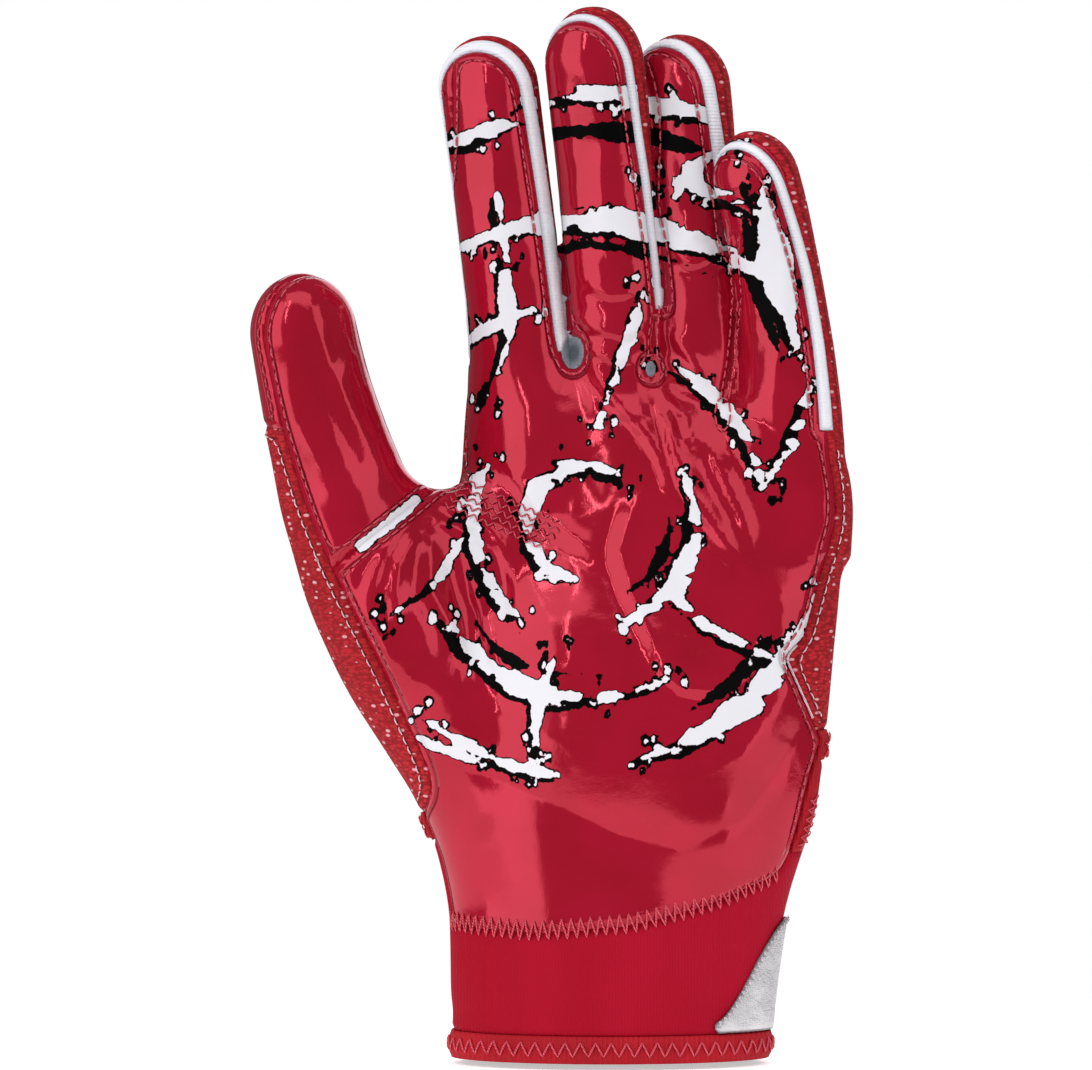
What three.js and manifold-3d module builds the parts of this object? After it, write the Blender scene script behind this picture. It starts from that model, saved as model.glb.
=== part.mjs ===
// A receiver's sports glove for the left hand, as worn: fingers up, palm towards -Y.
// +Z runs from the wrist opening to the fingertips, and the origin is the centre of that opening.
// Every panel is a hollow cloth wall, cut from one hand-shaped shell along the glove's real seams.
import * as THREE from "three";
import { mergeVertices } from "three/addons/utils/BufferGeometryUtils.js";
import Module from "manifold-3d";

const wasm = await Module();
wasm.setup();

// Driving sizes, in millimetres. Each can be changed by itself.
const WALL = 1.6;
const SEAM_GAP = 0.35;
const HAND_HEIGHT = 160;
const PALM_WIDTH = 91;
const PALM_DEPTH = 31;
const HEM_HEIGHT = 6.5;
const HEM_THICKENING = 0.7;
const BINDING_WIDTH = 7;
const BINDING_THICKENING = 0.8;
const PATCH_THICKNESS = 1.0;
const PALM_SEAM = 3.4;
const SIDEWALL_SHIFT = 0.9;
const WEB_SEAM = 0.5;
const THUMB_CAP_LENGTH = 32;
const THUMB_PANEL_LENGTH = 62;
const REACH = 0.7;
const SEAM_LAP = 0.5;

// How finely the walls are faceted.
const HAND_SIDES = 28;
const FINGER_SIDES = 12;
const FACET_TOLERANCE = 0.1;

// The hand and cuff, from the wrist opening up. Heights are shares of HAND_HEIGHT, across and wide of
// PALM_WIDTH, forward and deep of PALM_DEPTH. Turn faces the section, tilt drops its outer side, in degrees.
const HAND_SECTIONS = [
  { height: 0.0, across: 0.0, forward: 0.0, wide: 0.835, deep: 1.56, turn: 0, tilt: 0 },
  { height: 0.1, across: 0.006, forward: 0.0, wide: 0.845, deep: 1.54, turn: 0, tilt: 0 },
  { height: 0.22, across: 0.02, forward: 0.0, wide: 0.88, deep: 1.5, turn: 2, tilt: 0 },
  { height: 0.29, across: 0.025, forward: 0.02, wide: 0.945, deep: 1.48, turn: 3, tilt: 0 },
  { height: 0.37, across: 0.028, forward: 0.05, wide: 1.035, deep: 1.46, turn: 5, tilt: 0 },
  { height: 0.48, across: 0.02, forward: 0.07, wide: 1.095, deep: 1.4, turn: 7, tilt: 0 },
  { height: 0.59, across: 0.05, forward: 0.05, wide: 1.075, deep: 1.26, turn: 8, tilt: -2 },
  { height: 0.7, across: 0.085, forward: 0.02, wide: 1.04, deep: 1.12, turn: 8, tilt: -6 },
  { height: 0.8, across: 0.108, forward: 0.0, wide: 1.03, deep: 1.02, turn: 8, tilt: -10 },
  { height: 0.89, across: 0.12, forward: 0.0, wide: 1.04, deep: 0.92, turn: 8, tilt: -13 },
  { height: 0.96, across: 0.13, forward: 0.0, wide: 1.0, deep: 0.74, turn: 8, tilt: -16 },
  { height: 1.0, across: 0.13, forward: 0.0, wide: 0.9, deep: 0.42, turn: 8, tilt: -19 },
];

// The fingers. Across is a share of PALM_WIDTH and height of HAND_HEIGHT, at the knuckle. Lengths, widths,
// depths, starts in Y, forward curl, sideways sway, the flare at the knuckle and the sidewall's width are
// millimetres; lean, roll and the sidewall's further turns at the tip and the root are degrees.
const FINGERS = [
  { name: "index", across: -0.214, height: 0.94, start: 2.0, length: 94, lean: -6.9,
    width: 24.2, depth: 20.6, curl: 13, sway: 0.4, roll: 16, flare: 0,
    turn: 5, rootTurn: 5, side: 6.4 },
  { name: "middle", across: 0.036, height: 0.94, start: 0.0, length: 100, lean: -4.9,
    width: 24, depth: 20.4, curl: 18, sway: 0.8, roll: 17, flare: 0,
    turn: 12, rootTurn: 5, side: 3.4 },
  { name: "ring", across: 0.228, height: 0.905, start: 3.0, length: 100, lean: -3.2,
    width: 24.2, depth: 20.2, curl: 8, sway: 2.0, roll: 20, flare: 0,
    turn: 16, rootTurn: 2, side: 4.8 },
  { name: "little", across: 0.468, height: 0.855, start: -4.5, length: 84, lean: -7.8,
    width: 20.8, depth: 18.6, curl: 16, sway: 4.2, roll: 20, flare: 8,
    turn: 20, rootTurn: 20, side: 3.6 },
];
const THUMB = { name: "thumb", across: -0.31, height: 0.3875, start: 0, length: 133, lean: -20.6,
  width: 25, depth: 23.5, curl: 21, sway: -7.8, roll: -32, flare: 0 };
// The web of cloth between the thumb and the palm runs sideways, and its upper edge sags.
const WEB = { name: "web", across: -0.62, height: 0.765, start: -6, length: 36, lean: 82,
  width: 27, depth: 17, curl: -7, sway: 2.5, roll: 0, flare: 0 };

// A finger from its root in the palm to its tip: shares of its length, width and depth, how far palmward
// its sidewall's middle lies and the sidewall's share of its width. The thumb's rows say how many
// millimetres its seam lies in front of its middle.
const FINGER_SECTIONS = [
  { along: -0.17, wide: 0.9, deep: 0.86, middle: SIDEWALL_SHIFT, share: 1 },
  { along: 0.0, wide: 0.98, deep: 0.98, middle: SIDEWALL_SHIFT, share: 1 },
  { along: 0.16, wide: 1.02, deep: 1.02, middle: SIDEWALL_SHIFT, share: 1 },
  { along: 0.32, wide: 1.0, deep: 1.0, middle: SIDEWALL_SHIFT, share: 1 },
  { along: 0.5, wide: 0.99, deep: 0.99, middle: 1.1, share: 0.95 },
  { along: 0.68, wide: 0.99, deep: 0.97, middle: 1.8, share: 0.8 },
  { along: 0.82, wide: 1.0, deep: 0.96, middle: 2.7, share: 0.67 },
  { along: 0.9, wide: 0.95, deep: 0.9, middle: 3.2, share: 0.62 },
  { along: 0.955, wide: 0.77, deep: 0.73, middle: 3.4, share: 0.62 },
  { along: 0.986, wide: 0.5, deep: 0.47, middle: 3.5, share: 0.62 },
  { along: 1.0, wide: 0.18, deep: 0.18, middle: 3.6, share: 0.62 },
];
const THUMB_SECTIONS = [
  { along: 0.0, wide: 0.92, deep: 0.96, seam: 2 },
  { along: 0.14, wide: 1.25, deep: 1.34, seam: 6.5 },
  { along: 0.28, wide: 1.43, deep: 1.48, seam: 10 },
  { along: 0.43, wide: 1.42, deep: 1.42, seam: 9 },
  { along: 0.59, wide: 1.3, deep: 1.24, seam: 5.8 },
  { along: 0.74, wide: 1.14, deep: 1.06, seam: 3.2 },
  { along: 0.86, wide: 1.06, deep: 0.98, seam: 1.8 },
  { along: 0.92, wide: 0.98, deep: 0.9, seam: 1.5 },
  { along: 0.965, wide: 0.77, deep: 0.7, seam: 1.3 },
  { along: 0.989, wide: 0.47, deep: 0.43, seam: 1.2 },
  { along: 1.0, wide: 0.17, deep: 0.16, seam: 1.2 },
];
const WEB_SECTIONS = [
  { along: 0.0, wide: 0.8, deep: 0.8 },
  { along: 0.33, wide: 1.0, deep: 1.0 },
  { along: 0.67, wide: 1.0, deep: 1.0 },
  { along: 1.0, wide: 0.8, deep: 0.8 },
];

// The cuff's upper edge, as shares of half PALM_WIDTH across and of HAND_HEIGHT up. On the palm side it dips
// under the palm and climbs to the outer edge; over the back of the hand it slopes.
const CUFF_EDGE_FRONT = [
  { across: -1.5, up: 0.215 },
  { across: -0.73, up: 0.197 },
  { across: -0.41, up: 0.19 },
  { across: 0.12, up: 0.203 },
  { across: 0.54, up: 0.234 },
  { across: 0.9, up: 0.276 },
  { across: 0.97, up: 0.31 },
  { across: 1.09, up: 0.49 },
  { across: 1.5, up: 0.5 },
];
const CUFF_EDGE_BACK = [
  { across: -1.5, up: 0.34 },
  { across: -0.9, up: 0.37 },
  { across: 0.0, up: 0.45 },
  { across: 1.09, up: 0.49 },
  { across: 1.5, up: 0.5 },
];
// The point of mesh that the back sends round the outer side into the palm, in the same shares.
const VENT_EDGE = [
  { across: 1.5, up: 0.82 },
  { across: 1.2, up: 0.82 },
  { across: 1.01, up: 0.63 },
  { across: 0.91, up: 0.6 },
  { across: 1.12, up: 0.47 },
  { across: 1.5, up: 0.47 },
];
// The reflective patch's sloping edge, which wraps round the cuff's outer side, in the same shares.
const PATCH_EDGE = [
  { across: 0.53, up: 0.05 },
  { across: 0.65, up: 0.085 },
  { across: 0.73, up: 0.135 },
  { across: 0.84, up: 0.185 },
  { across: 0.92, up: 0.218 },
];

const degrees = THREE.MathUtils.degToRad;
const FAR = 3 * PALM_WIDTH;

function solidFrom(vertProperties, triVerts) {
  return new wasm.Manifold(new wasm.Mesh({ numProp: 3, vertProperties, triVerts }));
}

// A closed surface through rings of as many points each, with a flat fan at both ends, as a solid.
function solidThrough(rings) {
  const sides = rings[0].length;
  const points = rings.flat();
  const faces = [];
  for (let r = 0; r + 1 < rings.length; r++) {
    for (let s = 0; s < sides; s++) {
      const a = r * sides + s;
      const b = r * sides + ((s + 1) % sides);
      faces.push([a, b, b + sides], [a, b + sides, a + sides]);
    }
  }
  const lastRing = (rings.length - 1) * sides;
  for (let s = 1; s + 1 < sides; s++) {
    faces.push([0, s + 1, s], [lastRing, lastRing + s, lastRing + s + 1]);
  }
  const positions = points.flatMap((p) => [p.x, p.y, p.z]);
  const sixVolumes = faces.map(([a, b, c]) => points[a].dot(points[b].clone().cross(points[c])));
  const volume = sixVolumes.reduce((sum, part) => sum + part, 0);
  const facingOut = volume > 0 ? faces : faces.map(([a, b, c]) => [a, c, b]);
  return solidFrom(new Float32Array(positions), new Uint32Array(facingOut.flat()));
}

// A three.js geometry as a solid, to cut or join with.
function solidOf(geometry) {
  const plain = geometry.clone();
  plain.deleteAttribute("normal");
  plain.deleteAttribute("uv");
  const merged = mergeVertices(plain, 1e-4);
  return solidFrom(merged.attributes.position.array, new Uint32Array(merged.index.array));
}

function union(solids) {
  return solids.reduce((joined, solid) => joined.add(solid));
}

// The solid's largest body, without the slivers and crumbs that cuts leave where they graze a wall.
function largestBody(solid) {
  const bodies = solid.simplify(FACET_TOLERANCE).decompose();
  return bodies.reduce((best, body) => (body.volume() > best.volume() ? body : best));
}

// Stations along the hand: a centre with its sideways and palmward directions and half sizes.
function handStations() {
  return HAND_SECTIONS.map((row) => {
    const forward = row.forward * PALM_DEPTH;
    const centre = new THREE.Vector3(row.across * PALM_WIDTH, -forward, row.height * HAND_HEIGHT);
    const turned = new THREE.Quaternion().setFromAxisAngle(new THREE.Vector3(0, 0, 1), degrees(-row.turn));
    const tilted = new THREE.Quaternion().setFromAxisAngle(new THREE.Vector3(0, 1, 0), degrees(-row.tilt));
    const facing = tilted.multiply(turned);
    return {
      centre,
      side: new THREE.Vector3(1, 0, 0).applyQuaternion(facing),
      palmward: new THREE.Vector3(0, -1, 0).applyQuaternion(facing),
      upward: new THREE.Vector3(0, 0, 1).applyQuaternion(facing),
      halfWidth: (row.wide * PALM_WIDTH) / 2,
      halfDepth: (row.deep * PALM_DEPTH) / 2,
    };
  });
}

// Stations along a finger, whose centre line leans, curls towards the palm and sways to one side.
function fingerStations(finger, sections) {
  const lean = degrees(finger.lean);
  const outward = new THREE.Vector3(Math.sin(lean), 0, Math.cos(lean));
  const across = new THREE.Vector3(Math.cos(lean), 0, -Math.sin(lean));
  const knuckle = new THREE.Vector3(finger.across * PALM_WIDTH, finger.start, finger.height * HAND_HEIGHT);
  return sections.map((row) => {
    const swayed = 4 * finger.sway * row.along * (1 - row.along);
    const flared = finger.flare * (1 - row.along) ** 3;
    const centre = knuckle
      .clone()
      .addScaledVector(outward, row.along * finger.length)
      .addScaledVector(across, swayed)
      .add(new THREE.Vector3(0, -finger.curl * row.along ** 2, 0));
    const upward = outward
      .clone()
      .multiplyScalar(finger.length)
      .addScaledVector(across, 4 * finger.sway * (1 - 2 * row.along))
      .add(new THREE.Vector3(0, -2 * finger.curl * row.along, 0))
      .normalize();
    const flat = across.clone().addScaledVector(upward, -across.dot(upward)).normalize();
    const side = flat.applyAxisAngle(upward, degrees(-finger.roll));
    return {
      centre,
      side,
      palmward: new THREE.Vector3().crossVectors(side, upward),
      upward,
      halfWidth: (row.wide * finger.width + flared) / 2,
      halfDepth: (row.deep * finger.depth) / 2,
    };
  });
}

function placed(station, across, palmward, up = 0) {
  return station.centre
    .clone()
    .addScaledVector(station.side, across)
    .addScaledVector(station.palmward, palmward)
    .addScaledVector(station.upward, up);
}

// The round form through stations, grown outwards by some millimetres, or shrunk where that is negative.
function form(stations, sides, grown, foot, tip) {
  const smallest = 0.4;
  const rings = stations.map((station, i) => {
    const up = i === 0 ? -foot : i === stations.length - 1 ? tip : 0;
    const halfWidth = Math.max(station.halfWidth + grown, smallest);
    const halfDepth = Math.max(station.halfDepth + grown, smallest);
    return Array.from({ length: sides }, (_, s) => {
      const angle = (2 * Math.PI * (s + 0.5)) / sides;
      return placed(station, halfWidth * Math.cos(angle), halfDepth * Math.sin(angle), up);
    });
  });
  return solidThrough(rings);
}

// A bar through stations, between two heights above the middle of the hand or finger. The lower one is a
// list with a height for each station.
function slab(stations, lows, highs, spare, foot = 0, tip = 0) {
  const rings = stations.map((station, i) => {
    const up = i === 0 ? -foot : i === stations.length - 1 ? tip : 0;
    const reach = Math.max(...stations.map((s) => s.halfWidth)) + spare;
    const corners = [
      [-reach, lows[i]],
      [reach, lows[i]],
      [reach, highs[i]],
      [-reach, highs[i]],
    ];
    return corners.map(([across, palmward]) => placed(station, across, palmward, up));
  });
  return solidThrough(rings);
}

// A block under an edge line drawn on the hand, from nearest to furthest in Y, lifted and moved sideways.
function blockUnder(edge, nearest, furthest, lifted = 0, moved = 0) {
  const line = edge.map((p) => [(p.across * PALM_WIDTH) / 2 + moved, p.up * HAND_HEIGHT + lifted]);
  const shape = new THREE.Shape();
  shape.moveTo(line[0][0], -FAR);
  line.forEach(([x, z]) => shape.lineTo(x, z));
  shape.lineTo(line[line.length - 1][0], -FAR);
  const geometry = new THREE.ExtrudeGeometry(shape, { depth: furthest - nearest, bevelEnabled: false });
  geometry.rotateX(Math.PI / 2);
  geometry.translate(0, furthest, 0);
  return solidOf(geometry);
}

// A block inside a closed edge line drawn on the hand, right through it, moved sideways.
function blockInside(edge, moved) {
  const corner = (p) => new THREE.Vector2((p.across * PALM_WIDTH) / 2 + moved, p.up * HAND_HEIGHT);
  const shape = new THREE.Shape(edge.map(corner));
  const geometry = new THREE.ExtrudeGeometry(shape, { depth: 2 * FAR, bevelEnabled: false });
  geometry.rotateX(Math.PI / 2);
  geometry.translate(0, FAR, 0);
  return solidOf(geometry);
}

function box(lowest, highest) {
  const size = new THREE.Vector3().subVectors(highest, lowest);
  const geometry = new THREE.BoxGeometry(size.x, size.y, size.z);
  geometry.translate(...lowest.clone().addScaledVector(size, 0.5).toArray());
  return solidOf(geometry);
}

function layer(lowest, highest) {
  return box(new THREE.Vector3(-FAR, -FAR, lowest), new THREE.Vector3(FAR, FAR, highest));
}

// The whole shell.
const hand = handStations();
const fingers = FINGERS.map((finger) => ({ ...finger, stations: fingerStations(finger, FINGER_SECTIONS) }));
const thumbStations = fingerStations(THUMB, THUMB_SECTIONS);
const webStations = fingerStations(WEB, WEB_SECTIONS);

function handForm(grown) {
  return form(hand, HAND_SIDES, grown, grown < 0 ? FAR / 10 : 0, grown);
}
function fingerForm(stations, grown) {
  return form(stations, FINGER_SIDES, grown, 0, grown);
}

function wholeForm(grown) {
  const limbs = [thumbStations, webStations, ...fingers.map((finger) => finger.stations)];
  return union([handForm(grown), ...limbs.map((stations) => fingerForm(stations, grown))]);
}

const outside = wholeForm(0);
const inside = wholeForm(-WALL);
const shell = outside.subtract(inside);

// A finger's stations turned further about its length, as its sidewalls are.
function seamStations(finger) {
  return finger.stations.map((station, i) => {
    const risen = THREE.MathUtils.clamp((FINGER_SECTIONS[i].along - 0.3) / 0.4, 0, 1);
    const turn = degrees(THREE.MathUtils.lerp(finger.rootTurn, finger.turn, risen));
    return {
      ...station,
      side: station.side.clone().applyAxisAngle(station.upward, -turn),
      palmward: station.palmward.clone().applyAxisAngle(station.upward, -turn),
    };
  });
}

// The sidewalls between the fingers' fronts and backs.
function sideZone(finger, spare) {
  const rows = FINGER_SECTIONS.slice(2);
  const half = (row) => (row.share * finger.side) / 2 + spare;
  const lows = rows.map((row) => row.middle - half(row));
  const highs = rows.map((row) => row.middle + half(row));
  const bar = slab(seamStations(finger).slice(2), lows, highs, REACH + spare, spare, REACH + WALL);
  return bar.intersect(form(finger.stations.slice(2), FINGER_SIDES, REACH + spare, spare, REACH + WALL));
}

const sidewalls = [];
fingers.forEach((finger, i) => {
  const others = fingers.slice(0, i).map((earlier) => sideZone(earlier, SEAM_GAP));
  const cut = others.reduce((solid, zone) => solid.subtract(zone), shell.intersect(sideZone(finger, 0)));
  sidewalls.push({ name: finger.name + "_sidewall", solid: largestBody(cut) });
});
const allSides = union(fingers.map((finger) => sideZone(finger, SEAM_GAP)));

// The palm side: in front of the seam on the hand, the fingers and the thumb.
function frontOf(spare) {
  const far = (stations) => stations.map(() => FAR);
  const inFrontOf = (stations, seams, turned = stations) => {
    const lows = seams.map((seam) => seam - spare);
    const bar = slab(turned, lows, far(stations), REACH + spare, 0, REACH + WALL);
    return bar.intersect(form(stations, FINGER_SIDES, REACH + spare, 0, REACH + WALL));
  };
  const onFinger = (finger) => {
    const seams = finger.stations.map(() => SIDEWALL_SHIFT);
    return inFrontOf(finger.stations, seams, seamStations(finger));
  };
  const fronts = union([
    slab(hand, hand.map(() => PALM_SEAM - spare), far(hand), REACH + spare, REACH, REACH + WALL),
    inFrontOf(thumbStations, THUMB_SECTIONS.map((row) => row.seam)),
    inFrontOf(webStations, webStations.map(() => WEB_SEAM)),
    ...fingers.map(onFinger),
  ]);
  return fronts.subtract(blockInside(VENT_EDGE, spare));
}

// The thumb from its tip down to some length, as a block that holds nothing else.
function thumbEnd(length, spare) {
  const share = 1 - length / THUMB.length;
  const above = THUMB_SECTIONS.filter((row) => row.along > share);
  const before = THUMB_SECTIONS[THUMB_SECTIONS.length - above.length - 1];
  const mix = (share - before.along) / (above[0].along - before.along);
  const first = {
    along: share,
    wide: THREE.MathUtils.lerp(before.wide, above[0].wide, mix),
    deep: THREE.MathUtils.lerp(before.deep, above[0].deep, mix),
  };
  return form(fingerStations(THUMB, [first, ...above]), FINGER_SIDES, REACH + spare, spare, REACH + WALL);
}

// The cuff below its upper edge, which steps at the side seam from the palm's to the back's.
function cuffZone(spare) {
  return blockUnder(CUFF_EDGE_FRONT, -FAR, SEAM_LAP - PALM_SEAM, spare, -spare).add(
    blockUnder(CUFF_EDGE_BACK, -PALM_SEAM, FAR, spare, 0),
  );
}

// The binding follows the cuff's upper edge round the back and down the outer side.
function bindingZone(spare) {
  const overBack = blockUnder(CUFF_EDGE_BACK, -PALM_SEAM, FAR, spare, 0).subtract(
    blockUnder(CUFF_EDGE_BACK, -PALM_SEAM, FAR, -BINDING_WIDTH - spare, 0),
  );
  const sideEdge = CUFF_EDGE_FRONT.slice(-3);
  const downSide = blockUnder(sideEdge, -FAR, SEAM_LAP - PALM_SEAM, spare, -spare).subtract(
    layer(-FAR, sideEdge[0].up * HAND_HEIGHT - spare),
  );
  return overBack.add(downSide);
}

const rest = shell.subtract(allSides).subtract(cuffZone(SEAM_GAP));
const thumbWhole = thumbEnd(THUMB_PANEL_LENGTH, 0);
const front = frontOf(0);
const backOnly = rest.subtract(frontOf(SEAM_GAP));

const palmPanel = rest.intersect(front).subtract(thumbEnd(THUMB_PANEL_LENGTH, SEAM_GAP));
const thumbPanel = rest.intersect(front).intersect(thumbWhole);
const thumbCap = backOnly.intersect(thumbEnd(THUMB_CAP_LENGTH, 0));
const backPanel = backOnly.subtract(thumbEnd(THUMB_CAP_LENGTH, SEAM_GAP));

const hemLayer = layer(0, HEM_HEIGHT);
const cuff = shell
  .intersect(cuffZone(0))
  .subtract(bindingZone(SEAM_GAP))
  .subtract(layer(-SEAM_GAP, HEM_HEIGHT + SEAM_GAP));
const hem = handForm(HEM_THICKENING).subtract(handForm(-WALL)).intersect(hemLayer);
const binding = handForm(BINDING_THICKENING).subtract(inside).intersect(bindingZone(0));

const patchEdge = [
  { across: PATCH_EDGE[0].across, up: -1 },
  ...PATCH_EDGE,
  { across: 1.5, up: PATCH_EDGE.at(-1).up },
];
const patchLayer = layer(HEM_HEIGHT + SEAM_GAP, FAR);
const patch = handForm(SEAM_GAP + PATCH_THICKNESS)
  .subtract(handForm(SEAM_GAP))
  .intersect(blockUnder(patchEdge, -FAR, FAR))
  .intersect(patchLayer)
  .subtract(bindingZone(SEAM_GAP));

// The materials.
const coatedPalm = new THREE.MeshStandardMaterial({ color: 0xae1428, roughness: 0.22, metalness: 0 });
const redMesh = new THREE.MeshStandardMaterial({ color: 0xb32126, roughness: 0.85, metalness: 0 });
const whiteKnit = new THREE.MeshStandardMaterial({ color: 0xe4e6ea, roughness: 0.8, metalness: 0 });
const cuffKnit = new THREE.MeshStandardMaterial({ color: 0xac1525, roughness: 0.8, metalness: 0 });
const redTape = new THREE.MeshStandardMaterial({ color: 0xb81c1c, roughness: 0.75, metalness: 0 });
const silverFilm = new THREE.MeshStandardMaterial({ color: 0xb9bab9, roughness: 0.4, metalness: 0.1 });

const glove = new THREE.Group();

function addPanel(name, solid, material) {
  const { vertProperties, triVerts } = largestBody(solid).getMesh();
  const geometry = new THREE.BufferGeometry();
  geometry.setAttribute("position", new THREE.BufferAttribute(vertProperties, 3));
  geometry.setIndex(new THREE.BufferAttribute(triVerts, 1));
  const mesh = new THREE.Mesh(geometry, material);
  mesh.name = name;
  glove.add(mesh);
}

addPanel("palm_panel", palmPanel, coatedPalm);
addPanel("thumb_panel", thumbPanel, coatedPalm);
addPanel("thumb_tip_back", thumbCap, coatedPalm);
addPanel("back_panel", backPanel, redMesh);
sidewalls.forEach(({ name, solid }) => addPanel(name, solid, whiteKnit));
addPanel("cuff", cuff, cuffKnit);
addPanel("cuff_binding", binding, redTape);
addPanel("cuff_hem", hem, redTape);
addPanel("cuff_patch", patch, silverFilm);

export default glove;
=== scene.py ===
# A receiver's sports glove for the left hand. One smooth hand-shaped surface is made from the same table of
# sections as the solids, cut along the seams into sewn panels, and dressed with folds, stitching and print.
import math

import bpy
import numpy as np
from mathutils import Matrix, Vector, kdtree


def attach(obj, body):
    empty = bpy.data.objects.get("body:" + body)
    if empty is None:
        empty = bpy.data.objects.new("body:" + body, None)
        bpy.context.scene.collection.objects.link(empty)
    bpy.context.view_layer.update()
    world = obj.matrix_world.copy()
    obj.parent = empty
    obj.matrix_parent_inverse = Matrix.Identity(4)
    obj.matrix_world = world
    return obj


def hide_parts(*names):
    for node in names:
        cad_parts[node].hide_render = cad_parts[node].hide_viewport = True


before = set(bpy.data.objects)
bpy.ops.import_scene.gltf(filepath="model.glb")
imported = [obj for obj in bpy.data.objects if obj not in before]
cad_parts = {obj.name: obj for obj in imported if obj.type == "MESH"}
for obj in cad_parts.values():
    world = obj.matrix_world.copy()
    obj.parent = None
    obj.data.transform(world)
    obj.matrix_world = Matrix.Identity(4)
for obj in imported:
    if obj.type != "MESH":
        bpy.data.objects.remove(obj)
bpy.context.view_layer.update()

# Sizes in millimetres, as in the solids. Meshes are turned into metres when they are made.
MM = 0.001
HAND_HEIGHT = 160.0
PALM_WIDTH = 91.0
PALM_DEPTH = 31.0
HEM_HEIGHT = 6.5
PALM_SEAM = 3.4
SIDEWALL_SHIFT = 0.9
CAP_LENGTH = 32.0
BINDING_WIDTH = 7.0
GRID = 0.95
# How widely neighbouring parts of the surface flow into each other. Fingers part over KNUCKLE_TOP.
FINGER_BLEND = 4.5
FINGER_BLEND_DROP = 2.9
HAND_BLEND = 7.0
WEB_BLEND = 8.0
THUMB_BLEND = 9.0
KNUCKLE_TOP = 158
PARTING_HEIGHT = 14
# Where the hand's lowest section lies, and where a finger's round tip starts, as shares of their lengths.
HAND_FOOT = -0.05
ROUNDING_START = 0.87
CURVE_SAMPLES = 900
# A panel's edge rolls in over EDGE_ROLL, its relief fades in over RELIEF_FADE and is full at DEEP.
EDGE_ROLL = 0.9
RELIEF_FADE = 2.0
DEEP = 12.0
# How far the tapes and the patch lie over the cloth.
BINDING_LIFT = 0.8
HEM_LIFT = 0.7
PATCH_LIFT = 0.9
# Topstitching's distance from a panel's edge, and the length of its stitches.
PALM_INSET = 2.4
CAP_INSET = 1.2
MESH_INSET = 2.2
PALM_PITCH = 3.0
MESH_PITCH = 2.6
# A line with fewer points is too short to stitch.
SHORT_LINE = 12
# Points closer than this are one point.
WELD = 0.001
# Distances that stand for very far away and for well outside a printed stroke.
FAR = 1e9
OUTSIDE = -30.0

# Height, across, forward, wide, deep, turn, tilt.
HAND_ROWS = np.array([
    (0.0, 0.0, 0.0, 0.835, 1.56, 0, 0),
    (0.1, 0.006, 0.0, 0.845, 1.54, 0, 0),
    (0.22, 0.02, 0.0, 0.88, 1.5, 2, 0),
    (0.29, 0.025, 0.02, 0.945, 1.48, 3, 0),
    (0.37, 0.028, 0.05, 1.035, 1.46, 5, 0),
    (0.48, 0.02, 0.07, 1.095, 1.4, 7, 0),
    (0.59, 0.05, 0.05, 1.075, 1.26, 8, -2),
    (0.7, 0.085, 0.02, 1.04, 1.12, 8, -6),
    (0.8, 0.108, 0.0, 1.03, 1.02, 8, -10),
    (0.89, 0.12, 0.0, 1.04, 0.92, 8, -13),
    (0.96, 0.13, 0.0, 1.0, 0.74, 8, -16),
    (1.0, 0.13, 0.0, 0.9, 0.42, 8, -19),
])

LIMBS = {
    "index": dict(across=-0.214, height=0.94, start=2.0, length=94, lean=-6.9, width=24.2, depth=20.6,
                  curl=13, sway=0.4, roll=16, flare=0, turn=5, root_turn=5, side=6.4, foot=0.19),
    "middle": dict(across=0.036, height=0.94, start=0.0, length=100, lean=-4.9, width=24.0, depth=20.4,
                   curl=18, sway=0.8, roll=17, flare=0, turn=12, root_turn=5, side=3.4, foot=0.285),
    "ring": dict(across=0.228, height=0.905, start=3.0, length=100, lean=-3.2, width=24.2, depth=20.2,
                 curl=8, sway=2.0, roll=20, flare=0, turn=16, root_turn=2, side=4.8, foot=0.3),
    "little": dict(across=0.468, height=0.855, start=-4.5, length=84, lean=-7.8, width=20.8, depth=18.6,
                   curl=16, sway=4.2, roll=20, flare=8, turn=20, root_turn=20, side=3.6, foot=0.16),
    "thumb": dict(across=-0.31, height=0.3875, start=0.0, length=133, lean=-20.6, width=25.0, depth=23.5,
                  curl=21, sway=-7.8, roll=-32, flare=0, turn=0, root_turn=0),
    "web": dict(across=-0.62, height=0.765, start=-6.0, length=36, lean=82, width=27.0, depth=17.0,
                curl=-7, sway=2.5, roll=0, flare=0, turn=0, root_turn=0),
}
FINGERS = ["index", "middle", "ring", "little"]

# A sidewall along its finger: how far palmward its middle lies, and its share of its full width.
SIDE_ROWS = np.array([
    (-0.17, 0.9, 1.0), (0.4, 0.9, 1.0), (0.6, 1.3, 0.9),
    (0.8, 2.6, 0.68), (0.9, 3.2, 0.62), (1.0, 3.6, 0.62),
])
# The open ends of the slits between the fingers: x, z, half width, half height.
SLIT_ENDS = [(-9.0, 168.6, 2.3, 3.8), (9.8, 164.6, 1.2, 1.9)]

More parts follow.
